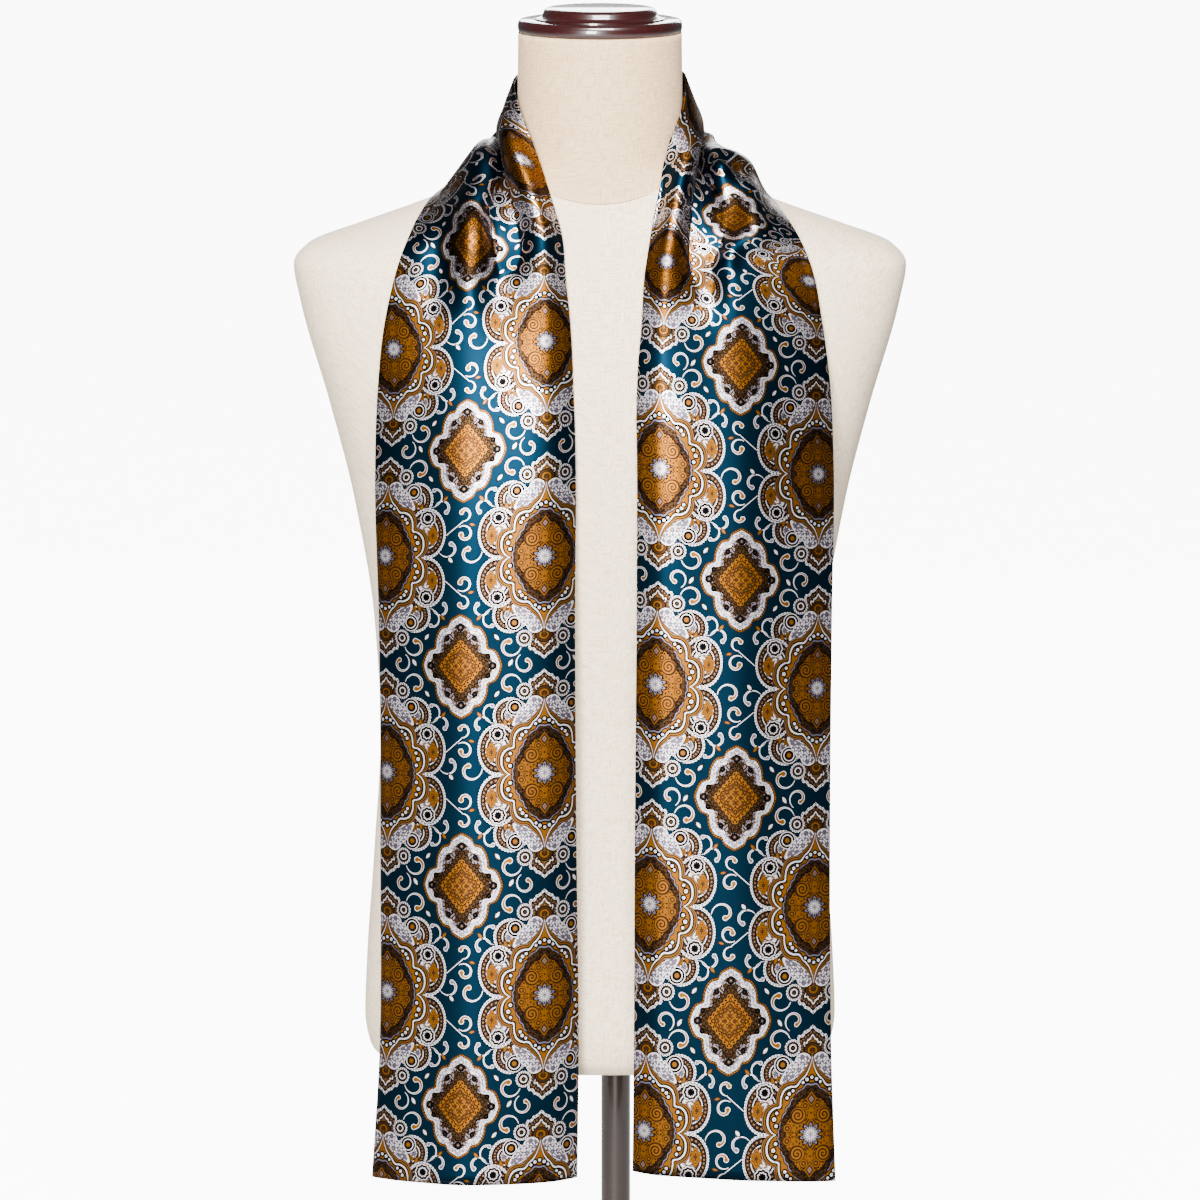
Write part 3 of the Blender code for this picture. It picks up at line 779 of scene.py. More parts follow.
RIGHT_CUTS = (
    (0.050, 0.0440, -0.0470, 0.0505, 0.0500, -0.0920, 0.1610, 0.0030, 0.0020, 0.0040, 0, 0),
    (0.100, 0.0630, -0.0050, 0.0525, 0.0900, -0.0640, 0.1490, 0.0010, 0.0000, 0.0040, 0, 0),
    (0.130, 0.0600, 0.0180, 0.0730, 0.1080, -0.0360, 0.1405, 0.0040, -0.0040, 0.0090, 0, 0),
    (0.158, 0.0515, 0.0380, 0.0940, 0.1205, -0.0060, 0.1375, 0.0090, -0.0090, 0.0190, 0, 0),
    (0.185, 0.0455, 0.0510, 0.1160, 0.1275, 0.0175, 0.1420, 0.0120, -0.0120, 0.0180, 0, 0),
    (0.210, 0.0410, 0.0625, 0.1385, 0.1360, 0.0400, 0.1500, 0.0130, -0.0120, 0.0150, 0, 0),
    (0.240, 0.0362, 0.0770, 0.1650, 0.1470, 0.0610, 0.1660, 0.0120, -0.0080, 0.0130, 0, 0),
    (0.270, 0.0325, 0.0880, 0.1910, 0.1565, 0.0730, 0.1900, 0.0095, -0.0010, 0.0110, 0.001, 0),
    (0.300, 0.0310, 0.0970, 0.2195, 0.1618, 0.0790, 0.2190, 0.0080, 0.0070, 0.0110, 0.002, 0.001),
    (0.350, 0.0275, 0.1050, 0.2680, 0.1685, 0.0840, 0.2690, 0.0085, 0.0115, 0.0135, 0.003, 0.002),
    (0.410, 0.0278, 0.1095, 0.3280, 0.1713, 0.0890, 0.3285, 0.0090, 0.0130, 0.0150, 0.003, 0.003),
    (0.520, 0.0275, 0.1090, 0.4380, 0.1705, 0.0940, 0.4385, 0.0095, 0.0140, 0.0160, 0.003, 0.003),
    (0.700, 0.0262, 0.1060, 0.6180, 0.1698, 0.1000, 0.6185, 0.0090, 0.0125, 0.0140, 0.003, 0.003),
    (0.850, 0.0255, 0.1020, 0.7680, 0.1713, 0.1070, 0.7680, 0.0075, 0.0095, 0.0105, 0.003, 0.003),
    (0.945, 0.0245, 0.0970, 0.8610, 0.1748, 0.1100, 0.8650, 0.0060, 0.0080, 0.0090, 0.003, 0.003),
)
BACK_CUT = (0, 0, -0.0650, 0.0500, 0, -0.0980, 0.1650, 0.003, 0.002, 0.003, 0, 0)

# %% The folds and the clearance
ROLL_AT = 0.13  # shares of the straight line's length
VALLEY_AT = 0.36
FLAP_AT = 0.52
SLOPE_AT = 0.80
SLOPE_SHARE = 0.55  # of the flap's height
IN_CURL = 0.036  # m, how wide the inner fold's round is
OUT_CURL = 0.024
CLOTH_WALL = 0.0030  # m, the solids' wall
CLOTH_REST = 0.0009  # m, between the solids' wall and the form


def band_table():
    """All cuts from the left hem to the right one."""
    left = np.array(LEFT_CUTS)[::-1]
    for column in (0, 1, 4):
        left[:, column] *= -1
    return np.vstack([left, [BACK_CUT], RIGHT_CUTS])


def band_cuts(along):
    """The table's columns at these places, and the inner and outer folds as points."""
    table = band_table()
    cut = {
        name: even_curve(table[:, 0], table[:, column], along)
        for column, name in enumerate(BAND_COLUMNS)
    }
    inner = np.stack([cut["in_out"], -cut["in_front"], TOP - cut["in_down"]], axis=-1)
    outer = np.stack([cut["out_out"], -cut["out_front"], TOP - cut["out_down"]], axis=-1)
    return cut, inner, outer


# %% [markdown]
# ## Creases, one by one
# The photographed cloth also has small folds that a solid wall needn't carry. Each is a soft
# trough or ridge along its own line on the band, from one place to another, that fades out
# at both ends. Share 0 is the inner fold and share 1 the outer one. Their sizes, lengths and
# spacing are uneven, as they are on cloth that someone has hung by hand. Beside the neck the
# flap also leans sideways over the valley, so that the fold there overhangs.

# %% The creases, placed one by one
# Each crease: along, share, to along, to share, height (below zero for a trough), half width.
CREASES = (
    (-0.112, 0.30, -0.245, 0.29, 0.0090, 0.0100),
    (-0.106, 0.43, -0.222, 0.46, -0.0180, 0.0075),
    (-0.118, 0.56, -0.215, 0.56, 0.0020, 0.0080),
    (-0.205, 0.44, -0.270, 0.28, -0.0060, 0.0100),
    (-0.190, 0.64, -0.300, 0.52, 0.0045, 0.0110),
    (-0.205, 0.80, -0.300, 0.70, -0.0035, 0.0120),
    (-0.120, 0.20, -0.185, 0.14, 0.0020, 0.0070),
    (0.100, 0.27, 0.255, 0.25, 0.0080, 0.0100),
    (0.098, 0.41, 0.238, 0.43, -0.0150, 0.0065),
    (0.110, 0.52, 0.175, 0.50, -0.0100, 0.0080),
    (0.108, 0.60, 0.172, 0.80, 0.0030, 0.0080),
    (0.155, 0.52, 0.190, 0.68, -0.0050, 0.0065),
    (0.180, 0.52, 0.262, 0.50, -0.0090, 0.0150),
    (0.170, 0.76, 0.255, 0.68, 0.0045, 0.0090),
    (0.236, 0.66, 0.270, 0.34, 0.0060, 0.0080),
    (-0.050, 0.30, 0.040, 0.42, -0.0016, 0.0080),
    (-0.085, 0.66, -0.010, 0.58, -0.0014, 0.0090),
    (0.020, 0.72, 0.100, 0.62, -0.0015, 0.0080),
)
# Each lean: from along, to along, share, how far, half width.
LEANS = ((-0.108, -0.222, 0.53, 0.0130, 0.0090), (0.098, 0.205, 0.53, 0.0120, 0.0090))
print(len(CREASES), "creases and", len(LEANS), "leans")


# %% From those lines to heights
CREASE_FADE = 0.8  # below 1, a crease keeps its height for longer before it fades out


def crease_heights(along, share, width):
    """How far the creases lift or press the cloth, for the places of one cut."""
    total = np.zeros(share.shape)
    for start, start_share, end, end_share, height, spread in CREASES:
        across_run = (end_share - start_share) * width
        run = math.hypot(end - start, across_run)
        from_along = along - start
        from_across = (share - start_share) * width
        way = np.array([end - start, across_run]) / run
        onward = from_along * way[0] + from_across * way[1]
        aside = from_across * way[0] - from_along * way[1]
        fade = np.sin(np.pi * np.clip(onward / run, 0, 1)) ** CREASE_FADE
        total += height * fade * np.exp(-((aside / spread) ** 2))
    return total


def lean_at(along, share, width):
    """How far the flap leans towards the inner fold, for the places of one cut."""
    total = np.zeros(share.shape)
    for start, end, middle, reach, spread in LEANS:
        fade = math.sin(math.pi * np.clip((along - start) / (end - start), 0, 1))
        total += reach * fade * np.exp(-(((share - middle) * width / spread) ** 2))
    return total


# %% The band's surface
NEIGHBOUR = 0.004  # m along, how far the cuts that give the band's direction are
FINE_STEPS = 161


def walk(points):
    """How far along its own length each point of a line is."""
    return np.concatenate([[0], np.cumsum(np.linalg.norm(np.diff(points, axis=0), axis=1))])


def band_surface(along, steps):
    """The middle of the three layers, as rows of evenly spaced points."""
    cut, inner, outer = band_cuts(along)
    _, inner_before, outer_before = band_cuts(along - NEIGHBOUR)
    _, inner_after, outer_after = band_cuts(along + NEIGHBOUR)
    line = outer - inner
    outward = np.cross(inner_after + outer_after - inner_before - outer_before, line)
    outward /= np.linalg.norm(outward, axis=1, keepdims=True)
    fine = np.linspace(0, 1, FINE_STEPS)
    fold_places = (0, ROLL_AT, VALLEY_AT, FLAP_AT, SLOPE_AT, 1)
    rows = []
    for i in range(len(along)):
        length = np.linalg.norm(line[i])
        flap = cut["flap"][i]
        heights = (0, cut["roll"][i], cut["valley"][i], flap, flap * SLOPE_SHARE, 0)
        stand_off = smooth_through(fold_places, heights, fine)
        near_inner = np.clip(1 - fine * length / IN_CURL, 0, 1)
        near_outer = np.clip(1 - (1 - fine) * length / OUT_CURL, 0, 1)
        stand_off -= cut["in_drop"][i] * (1 - np.sqrt(1 - near_inner**2))
        stand_off -= cut["out_drop"][i] * (1 - np.sqrt(1 - near_outer**2))
        stand_off += crease_heights(along[i], fine, length)
        across = fine - lean_at(along[i], fine, length) / length
        curve = inner[i] + across[:, None] * line[i] + stand_off[:, None] * outward[i]
        walked = walk(curve)
        even = np.linspace(0, walked[-1], steps + 1)
        rows.append(np.stack([np.interp(even, walked, curve[:, k]) for k in range(3)], axis=-1))
    return lay_on_form(np.array(rows), CLOTH_WALL / 2 + CLOTH_REST)


# %% [markdown]
# ## One sheet, folded in three
# A real scarf's thickness is thread-thin, and its body comes from layers and air. The sheet
# here starts with a free edge at the back, runs to the inner fold, turns to the front, runs
# to the outer fold and turns in between. Each row of the mesh follows that path, and walks
# its length too, so that the pattern's map runs on round both folds without stretching.
# Solidify gives the sheet its wall last.

# %% The path of one cross cut
HALF_LENGTH = 0.945  # m, from the back of the neck to a hem
SILK = 0.00035  # m
LAYER = 0.0010  # m, from one layer's middle to the next
FRONT_STEPS = 66
BACK_STEPS = 17
TURN_STEPS = 5
REAR_SHORT = 0.010  # m, how far the rear layer's free edge stops before the outer fold
MIDDLE_SHORT = 0.006  # m, how far the middle layer's stops before the inner fold
NECK_REACH = 0.330  # m either way, the stretch with more rows
NECK_ROWS = 241
TAIL_ROWS = 84


def folded_path(width):
    """Across places and stand-offs along the sheet's cross cut."""
    inner_turn = np.linspace(-math.pi / 2, math.pi / 2, TURN_STEPS + 2)[1:-1]
    outer_turn = inner_turn[::-1]
    rear = np.linspace(width - REAR_SHORT, LAYER, BACK_STEPS)
    front = np.linspace(LAYER, width - LAYER / 2, FRONT_STEPS)
    middle = np.linspace(width - LAYER / 2, MIDDLE_SHORT, BACK_STEPS)
    across = np.concatenate([
        rear,
        LAYER - LAYER * np.cos(inner_turn),
        front,
        width - LAYER / 2 + LAYER / 2 * np.cos(outer_turn),
        middle,
    ])
    stand_off = np.concatenate([
        np.full(BACK_STEPS, -LAYER),
        LAYER * np.sin(inner_turn),
        np.full(FRONT_STEPS, LAYER),
        LAYER / 2 + LAYER / 2 * np.sin(outer_turn),
        np.zeros(BACK_STEPS),
    ])
    return across, stand_off


def scarf_rows():
    """Where along the band the mesh has its rows."""
    neck = np.linspace(-NECK_REACH, NECK_REACH, NECK_ROWS)
    tail = np.linspace(NECK_REACH, HALF_LENGTH, TAIL_ROWS)[1:]
    return np.concatenate([-tail[::-1], neck, tail])


# %% [markdown]
# ## Where the pattern lies
# Along most of the scarf the pattern follows the band's own length. At the front of the neck
# the inner fold is gathered, so more cloth lies in less length there. The table says, for
# the inner and the outer fold, how much cloth (mm) has passed at each place along the band.

# %% How much cloth has passed, and where its columns lie
MM = 1000.0  # in a metre: shapes and maps are in metres, and patterns in millimetres
INNER_CLOTH = (
    (-0.945, -617.0), (-0.8028, -480.0), (-0.6347, -320.0), (-0.4729, -160.0), (-0.316, 0.0),
    (-0.1830, 160.0), (0.104, 480.0), (0.215, 583.0), (0.255, 640.0), (0.4077, 800.0),
    (0.5681, 960.0), (0.7346, 1120.0), (0.9110, 1280.0), (0.945, 1311.0),
)
OUTER_CLOTH = (
    (-0.945, -619.0), (-0.7995, -480.0), (-0.6334, -320.0), (-0.4722, -160.0), (-0.320, 0.0),
    (-0.1635, 160.0), (0.170, 480.0), (0.225, 541.0), (0.275, 640.0), (0.4162, 800.0),
    (0.5745, 960.0), (0.7388, 1120.0), (0.9092, 1280.0), (0.945, 1313.0),
)
# How far the inner column of medallions is from the inner fold, mm of cloth.
COLUMN_AT = (
    (-0.945, 35.1), (-0.800, 30.9), (-0.640, 27.7), (-0.480, 26.6), (-0.300, 21.8),
    (-0.180, 15.0), (0.0, 22.3), (0.250, 20.7), (0.400, 20.5), (0.600, 17.5), (0.750, 14.5),
    (0.945, 10.5),
)
# Steps of the drawn pattern to a millimetre across. The cloth is gathered near the neck.
ACROSS_AT = (
    (-0.945, 1.02), (-0.470, 1.02), (-0.330, 1.09), (-0.250, 1.06), (-0.100, 1.02),
    (0.100, 1.05), (0.220, 1.17), (0.300, 1.09), (0.410, 1.045), (0.600, 1.02), (0.945, 1.00),
)


def cloth_map(along, share, walked):
    """The pattern's place, mm across and along, for one row of the sheet."""
    inner = smooth_through(*zip(*INNER_CLOTH), along)
    outer = smooth_through(*zip(*OUTER_CLOTH), along)
    column = smooth_through(*zip(*COLUMN_AT), along)
    across = smooth_through(*zip(*ACROSS_AT), along)
    share = np.clip(share, 0, 1)
    return walked * MM * across - column, inner + (outer - inner) * share


# %% Objects from rows of points
def put(name, data):
    """A new object for this data, in the scene and at the origin."""
    made = bpy.data.objects.new(name, data)
    bpy.context.scene.collection.objects.link(made)
    return made


def between_rows(corner):
    """The four-cornered faces between rows of vertex numbers."""
    sides = corner[:-1, :-1], corner[1:, :-1], corner[1:, 1:], corner[:-1, 1:]
    return np.stack(sides, axis=-1).reshape(-1, 4)


def bake(made):
    """Turns an object's modifiers into a plain mesh."""
    graph = bpy.context.evaluated_depsgraph_get()
    graph.update()
    plain = bpy.data.meshes.new_from_object(made.evaluated_get(graph))
    made.modifiers.clear()
    made.data = plain
    count = sum(len(face.vertices) - 2 for face in plain.polygons)
    print(f"{made.name}: {count} triangles")


def sheet_object(name, points, places, surface, thickness):
    """A thin closed sheet through rows of points, with its own map in metres of cloth."""
    rows, columns = points.shape[:2]
    faces = between_rows(np.arange(rows * columns).reshape(rows, columns))
    mesh = bpy.data.meshes.new(name)
    mesh.from_pydata(points.reshape(-1, 3), [], faces.tolist())
    layer = mesh.uv_layers.new(name="cloth")
    layer.data.foreach_set("uv", places.reshape(-1, 2)[faces.ravel()].ravel())
    mesh.materials.append(surface)
    mesh.shade_smooth()
    made = put(name, mesh)
    wall = made.modifiers.new("Wall", "SOLIDIFY")
    wall.thickness = thickness
    wall.offset = 0
    bake(made)
    return made


# %% The sheet itself
SURFACE_STEPS = 150


def make_scarf(silk):
    """Walks every cut of the band round its layers, and maps the pattern as it goes."""
    along = scarf_rows()
    surface = band_surface(along, SURFACE_STEPS)
    onward = np.gradient(surface, axis=0)
    sideways = np.gradient(surface, axis=1)
    outward = np.cross(onward, sideways)
    outward /= np.linalg.norm(outward, axis=2, keepdims=True)
    widths = np.linalg.norm(np.diff(surface, axis=1), axis=2).sum(axis=1)
    shares = np.linspace(0, 1, surface.shape[1])

    points, places = [], []
    for i, width in enumerate(widths):
        across, stand_off = folded_path(width)
        share = across / width
        base = np.stack([np.interp(share, shares, surface[i, :, k]) for k in range(3)], axis=-1)
        lift = np.stack([np.interp(share, shares, outward[i, :, k]) for k in range(3)], axis=-1)
        row = base + lift * stand_off[:, None]
        walked = walk(row)
        walked -= walked[BACK_STEPS + TURN_STEPS // 2]
        points.append(row)
        places.append(np.stack(cloth_map(along[i], share, walked), axis=-1))
    print(f"scarf: band {widths.min() * MM:.0f} to {widths.max() * MM:.0f} mm wide")
    return sheet_object("silk_scarf", np.array(points), np.array(places) / MM, silk, SILK)


# %% [markdown]
# ## Silk
# The real cloth is a jacquard silk on a satin ground. Its threads are long and barely
# twisted, and float over the weave side by side, so each sends the light back in its own
# colour. That gives the eye a broad, soft sheen on the folds and deep colour beside them. So
# the shader is metallic, the jacquard's colours are the tint of the reflection, and the
# roughness is what spreads the sheen as wide as on the photograph.

# %% Materials and maps
def new_material(name, roughness):
    """A material with its node tree and its shader."""
    made = bpy.data.materials.new(name)
    made.use_nodes = True
    shader = made.node_tree.nodes["Principled BSDF"]
    shader.inputs["Roughness"].default_value = roughness
    return made, made.node_tree, shader


def map_field(tree, name, scale):
    """The object's own map by name, times a scale."""
    found = add_node(tree, "ShaderNodeUVMap", {"uv_map": name})
    return Field(tree, found.outputs["UV"]).vector("MULTIPLY", (scale, scale, 0.0))


# %% The silk and the scarf
SILK_ROUGHNESS = 0.39
SILK_EDGE = 0.1  # low, so that the sheen keeps its tint where the cloth turns away

silk, tree, shader = new_material("jacquard silk", SILK_ROUGHNESS)
cloth_place = map_field(tree, "cloth", MM)
tree.links.new(jacquard(tree, cloth_place).output, shader.inputs["Base Color"])
shader.inputs["Metallic"].default_value = 1.0
shader.inputs["Specular IOR Level"].default_value = SILK_EDGE
print("silk:", len(tree.nodes), "nodes")
scarf = make_scarf(silk)

# %% [markdown]
# ## The linen form
# The form's own solid is faceted, so a finer skin with the same cuts stands for it. Its map
# is in metres from the middle of the front, so that the linen's threads keep their real
# size, and run straight down the centre of the chest. The real cover is cut and sewn to a
# padded shell. Rows of points from the table of cuts give its outside directly.

# %% Rows of points down the form
FORM_SIDES = 144
FORM_ROWS = 170
NECK_FROM, NECK_TO = 0.105, 0.200  # m down, where neck turns to shoulder, with more rows
NECK_MORE = 40
RIM_FROM = 0.775  # m down, where the sides turn to the underside, with more rows
RIM_MORE = 14


def form_rows():
    """The form's points, row by row from the top, and their places on the linen."""
    low, high = FORM_TABLE[0, 0], FORM_TABLE[-1, 0]
    downs = np.unique(np.concatenate([
        np.linspace(low, high, FORM_ROWS),
        np.linspace(NECK_FROM, NECK_TO, NECK_MORE),
        np.linspace(RIM_FROM, high, RIM_MORE),
    ]))
    turns = np.linspace(-math.pi / 2, 1.5 * math.pi, FORM_SIDES + 1)
    half_width, front, back, squareness = (column[:, None] for column in form_cut(downs))
    power = 2 / squareness
    across = np.sign(np.cos(turns)) * np.abs(np.cos(turns)) ** power * half_width
    through = np.sign(np.sin(turns)) * np.abs(np.sin(turns)) ** power
    through = through * np.where(through < 0, front, back)
    height = np.broadcast_to(TOP - downs[:, None], across.shape)
    points = np.stack([across, through, height], axis=-1)
    round_way = np.cumsum(np.linalg.norm(np.diff(points, axis=1), axis=2), axis=1)
    round_way = np.concatenate([np.zeros((len(downs), 1)), round_way], axis=1)
    down_way = np.linalg.norm(np.diff(points, axis=0), axis=2)
    down_way = np.concatenate([np.zeros((1, len(turns))), np.cumsum(down_way, axis=0)])
    return points, np.stack([round_way, -down_way], axis=-1)


# %% A skin through those rows
def ring_numbers(rows, sides):
    """Vertex numbers of rings of points, with the first of each ring again at its end."""
    corner = np.arange(rows * sides).reshape(rows, sides)
    return np.concatenate([corner, corner[:, :1]], axis=1)


def make_form(linen):
    """The skin with its map and its two flat ends."""
    points, places = form_rows()
    corner = ring_numbers(len(points), FORM_SIDES)
    sides = corner[:-1, 1:], corner[:-1, :-1], corner[1:, :-1], corner[1:, 1:]
    faces = np.stack(sides, axis=-1).reshape(-1, 4).tolist()
    spots = places[:-1, 1:], places[:-1, :-1], places[1:, :-1], places[1:, 1:]
    spots = np.stack(spots, axis=2).reshape(-1, 2)
    faces += [corner[0, :-1].tolist(), corner[-1, :-1][::-1].tolist()]
    spots = np.vstack([spots, places[0, :-1], places[-1, :-1][::-1]])
    mesh = bpy.data.meshes.new("linen_form")
    mesh.from_pydata(points[:, :-1].reshape(-1, 3), [], faces)
    layer = mesh.uv_layers.new(name="cloth")
    layer.data.foreach_set("uv", spots.ravel())
    mesh.materials.append(linen)
    mesh.shade_smooth()
    mesh.polygons[len(faces) - 2].use_smooth = False
    mesh.polygons[len(faces) - 1].use_smooth = False
    print("linen form:", len(faces), "faces")
    return put("linen_form", mesh)


# %% [markdown]
# ## Linen threads
# Linen is a plain weave of uneven threads. Two sets of fine lines cross, one set each way,
# and a noise that is stretched along each set makes some threads thicker and darker. The
# real one is unbleached, dry and matt. The eye gets no highlight from it, but a fine crossed
# grain and a warm shade that deepens evenly towards the sides. Above the neck's seam the
# linen is painted darker and warmer. This is painted shade for the neck, which gets less
# light than the chest.

# %% The linen's numbers
CREAM = colour_of("#F6E2C4")
SHADE = colour_of("#C4A886")
# Painted shade: the neck's linen is multiplied by this, so it is darker and warmer than the
# chest's.
NECK_PAINTED_SHADE = colour_of("#EBD8BE")
# From thread to thread, mm. Real linen has about 0.6, and this is coarser so that it shows.
THREAD = 1.15
SLUB_CHANGE = 0.11  # 1/mm, how fast a thread's thickness changes along it
WEAVE_SHARE = 0.10  # how much of the crossing shows beside the slubs
TONE_CONTRAST, TONE_SHIFT = 2.6, -1.15  # from the threads' noise to the mix of the two tones
BUMP_STRENGTH = 0.35
BUMP_HEIGHT = 0.0004  # m
LINEN_ROUGHNESS = 0.85
LINEN_FUZZ = 0.1
SEAM_DIP = 0.1384  # m down from the cap's top, where the neck's seam is at the front
SEAM_RISE = 5.4  # 1/m, how fast the seam rises to the sides


# %% The weave
def slubs(place, way, seed):
    """A noise stretched along one way of the weave, for thick and thin threads."""
    stretched = place.vector("MULTIPLY", way).vector("ADD", (seed, seed, 0.0))
    made = add_node(
        place.tree, "ShaderNodeTexNoise", {"noise_dimensions": "2D"},
        {"Vector": stretched, "Scale": 1.0, "Detail": 2.0, "Roughness": 0.6},
    )
    return Field(place.tree, made.outputs["Fac"])


linen, tree, shader = new_material("linen", LINEN_ROUGHNESS)
place = map_field(tree, "cloth", MM)
across, along = place.split()
warp = slubs(place, (1 / THREAD, SLUB_CHANGE, 0.0), seed=3.0)
weft = slubs(place, (SLUB_CHANGE, 1 / THREAD, 0.0), seed=40.0)
weave = across.wave(2 * math.pi / THREAD) * along.wave(2 * math.pi / THREAD)
threads = warp.most(weft) + weave * WEAVE_SHARE
tone = add_node(
    tree, "ShaderNodeMix", {"data_type": "RGBA", "clamp_factor": True},
    {0: threads.scaled(TONE_CONTRAST, TONE_SHIFT), 6: CREAM, 7: SHADE},
)

# %% The neck's painted shade, and the linen's grain under the light
spot = add_node(tree, "ShaderNodeTexCoord")
spot = add_node(tree, "ShaderNodeSeparateXYZ", {}, {0: spot.outputs["Object"]})
sideways = Field(tree, spot.outputs["X"])
# Painted shade: above the seam's line, the linen is darkened by the neck's tint.
painted_shade_on_neck = Field(tree, spot.outputs["Z"]) > (sideways * sideways).scaled(SEAM_RISE, TOP - SEAM_DIP)
shaded_linen = add_node(
    tree, "ShaderNodeMix", {"data_type": "RGBA", "blend_type": "MULTIPLY"},
    {0: painted_shade_on_neck, 6: tone.outputs[2], 7: NECK_PAINTED_SHADE},
)
tree.links.new(shaded_linen.outputs[2], shader.inputs["Base Color"])
bump = add_node(
    tree, "ShaderNodeBump", {},
    {"Strength": BUMP_STRENGTH, "Distance": BUMP_HEIGHT, "Height": threads},
)
tree.links.new(bump.outputs["Normal"], shader.inputs["Normal"])
shader.inputs["Sheen Weight"].default_value = LINEN_FUZZ
print("linen:", len(tree.nodes), "nodes")
form = make_form(linen)

# %% [markdown]
# ## Sewn seams
# The neck's linen is sewn to the chest's, and small brown stitches show along that seam. One
# short thread is made once, and Geometry Nodes lays it at even steps along the seam's line.
# The line dips at the front, as a neckline does. How far it has dipped depends on where it is
# across, and that on the form's width there, so a few rounds settle it.

# %% The seam's line
SEAM_TOP = 0.1235  # m down from the cap's top, at the sides
SEAM_POINTS = 120
SEAM_ROUNDS = 4


def seam_points(count):
    """Points on the form's front half, from one side to the other."""
    turns = np.linspace(-math.pi, 0, count)
    down = np.full(count, SEAM_DIP)
    for _ in range(SEAM_ROUNDS):
        half_width, front, _, squareness = form_cut(down)
        across = np.sign(np.cos(turns)) * np.abs(np.cos(turns)) ** (2 / squareness) * half_width
        through = -np.abs(np.sin(turns)) ** (2 / squareness) * front
        down = np.maximum(SEAM_DIP - SEAM_RISE * across**2, SEAM_TOP)
    return np.stack([across, through, TOP - down], axis=-1)


def seam_curve(points):
    """The seam's line as a mesh of edges only."""
    mesh = bpy.data.meshes.new("seam_stitches")
    edges = [(i, i + 1) for i in range(len(points) - 1)]
    mesh.from_pydata(points.tolist(), edges, [])
    return put("seam_stitches", mesh)


# %% The stitches' measures and the group's inputs
# In metres: from stitch to stitch, a stitch's length and its thread's radius.
STITCHES = {"Step": 0.0030, "Length": 0.0021, "Thread": 0.00035}
THREAD_SIDES = 8


def stitch_group():
    """An empty node group with its inputs and output, and the inputs' identifiers."""
    group = bpy.data.node_groups.new("stitches along a line", "GeometryNodeTree")
    group.interface.new_socket("Line", in_out="INPUT", socket_type="NodeSocketGeometry")
    sockets = {}
    for name, value in STITCHES.items():
        socket = group.interface.new_socket(
            name, in_out="INPUT", socket_type="NodeSocketFloat"
        )
        socket.default_value = value
        sockets[name] = socket.identifier
    group.interface.new_socket("Stitches", in_out="OUTPUT", socket_type="NodeSocketGeometry")
    return group, sockets


# %% From the line to stitches
def fill_stitch_group(group, thread):
    """Steps evenly along the line, lays a short rod at each step and dyes it."""
    given = add_node(group, "NodeGroupInput")
    line = add_node(group, "GeometryNodeMeshToCurve", {}, {"Mesh": given.outputs["Line"]})
    even = add_node(
        group, "GeometryNodeResampleCurve", {"mode": "LENGTH"},
        {"Curve": line.outputs["Curve"], "Length": given.outputs["Step"]},
    )
    rod = add_node(
        group, "GeometryNodeMeshCylinder", {},
        {
            "Vertices": THREAD_SIDES, "Radius": given.outputs["Thread"],
            "Depth": given.outputs["Length"],
        },
    )
    way = add_node(group, "GeometryNodeInputTangent")
    turn = add_node(
        group, "FunctionNodeAlignRotationToVector", {"axis": "Z"},
        {"Vector": way.outputs["Tangent"]},
    )
    laid = add_node(
        group, "GeometryNodeInstanceOnPoints", {},
        {
            "Points": even.outputs["Curve"], "Instance": rod.outputs["Mesh"],
            "Rotation": turn.outputs["Rotation"],
        },
    )
    real = add_node(
        group, "GeometryNodeRealizeInstances", {}, {"Geometry": laid.outputs["Instances"]}
    )
    dyed = add_node(
        group, "GeometryNodeSetMaterial", {},
        {"Geometry": real.outputs["Geometry"], "Material": thread},
    )
    result = add_node(group, "NodeGroupOutput")
    group.links.new(dyed.outputs["Geometry"], result.inputs["Stitches"])


# %% [markdown]
# ## Thread
# The stitches are spun cotton, brown against the linen. It is fuzzy and dry, so it has no
# highlight, and its twist shows as small changes of tone. Wood is made by the same two-tone
# material, with its noise drawn out along the grain.

# %% A material of two tones
COTTON_ROUGHNESS = 0.7
# 1/m, each way: tones about 0.7 mm wide, coarser than the real twist so that they show.
COTTON_TWIST = (1500.0, 1500.0, 1500.0)


def mottled(name, roughness, light, dark, scale):
    """A material of two tones, mixed by a noise that is as fine each way as the scale says."""
    made, tree, shader = new_material(name, roughness)
    place = add_node(tree, "ShaderNodeTexCoord")
    place = Field(tree, place.outputs["Object"]).vector("MULTIPLY", scale)
    grain = add_node(
        tree, "ShaderNodeTexNoise", {}, {"Vector": place, "Scale": 1.0, "Detail": 3.0}
    )
    tone = add_node(
        tree, "ShaderNodeMix", {"data_type": "RGBA"},
        {0: grain.outputs["Fac"], 6: colour_of(dark), 7: colour_of(light)},
    )
    tree.links.new(tone.outputs[2], shader.inputs["Base Color"])
    return made, shader


# %% Sewing the seam
thread, _ = mottled("spun cotton thread", COTTON_ROUGHNESS, "#A27E5E", "#6E523A", COTTON_TWIST)
seams = seam_curve(seam_points(SEAM_POINTS))
group, sockets = stitch_group()
fill_stitch_group(group, thread)
sewing = seams.modifiers.new("Sewing", "NODES")
sewing.node_group = group
for name, value in STITCHES.items():
    sewing[sockets[name]] = value
bake(seams)

# %% [markdown]
# ## Turned wood
# The cap, the pole and the base are turned on a lathe, so each is a profile spun round its
# axis. Their solids are faceted, and a lacquered surface would show every facet, so finer
# ones with the same profiles take their place.

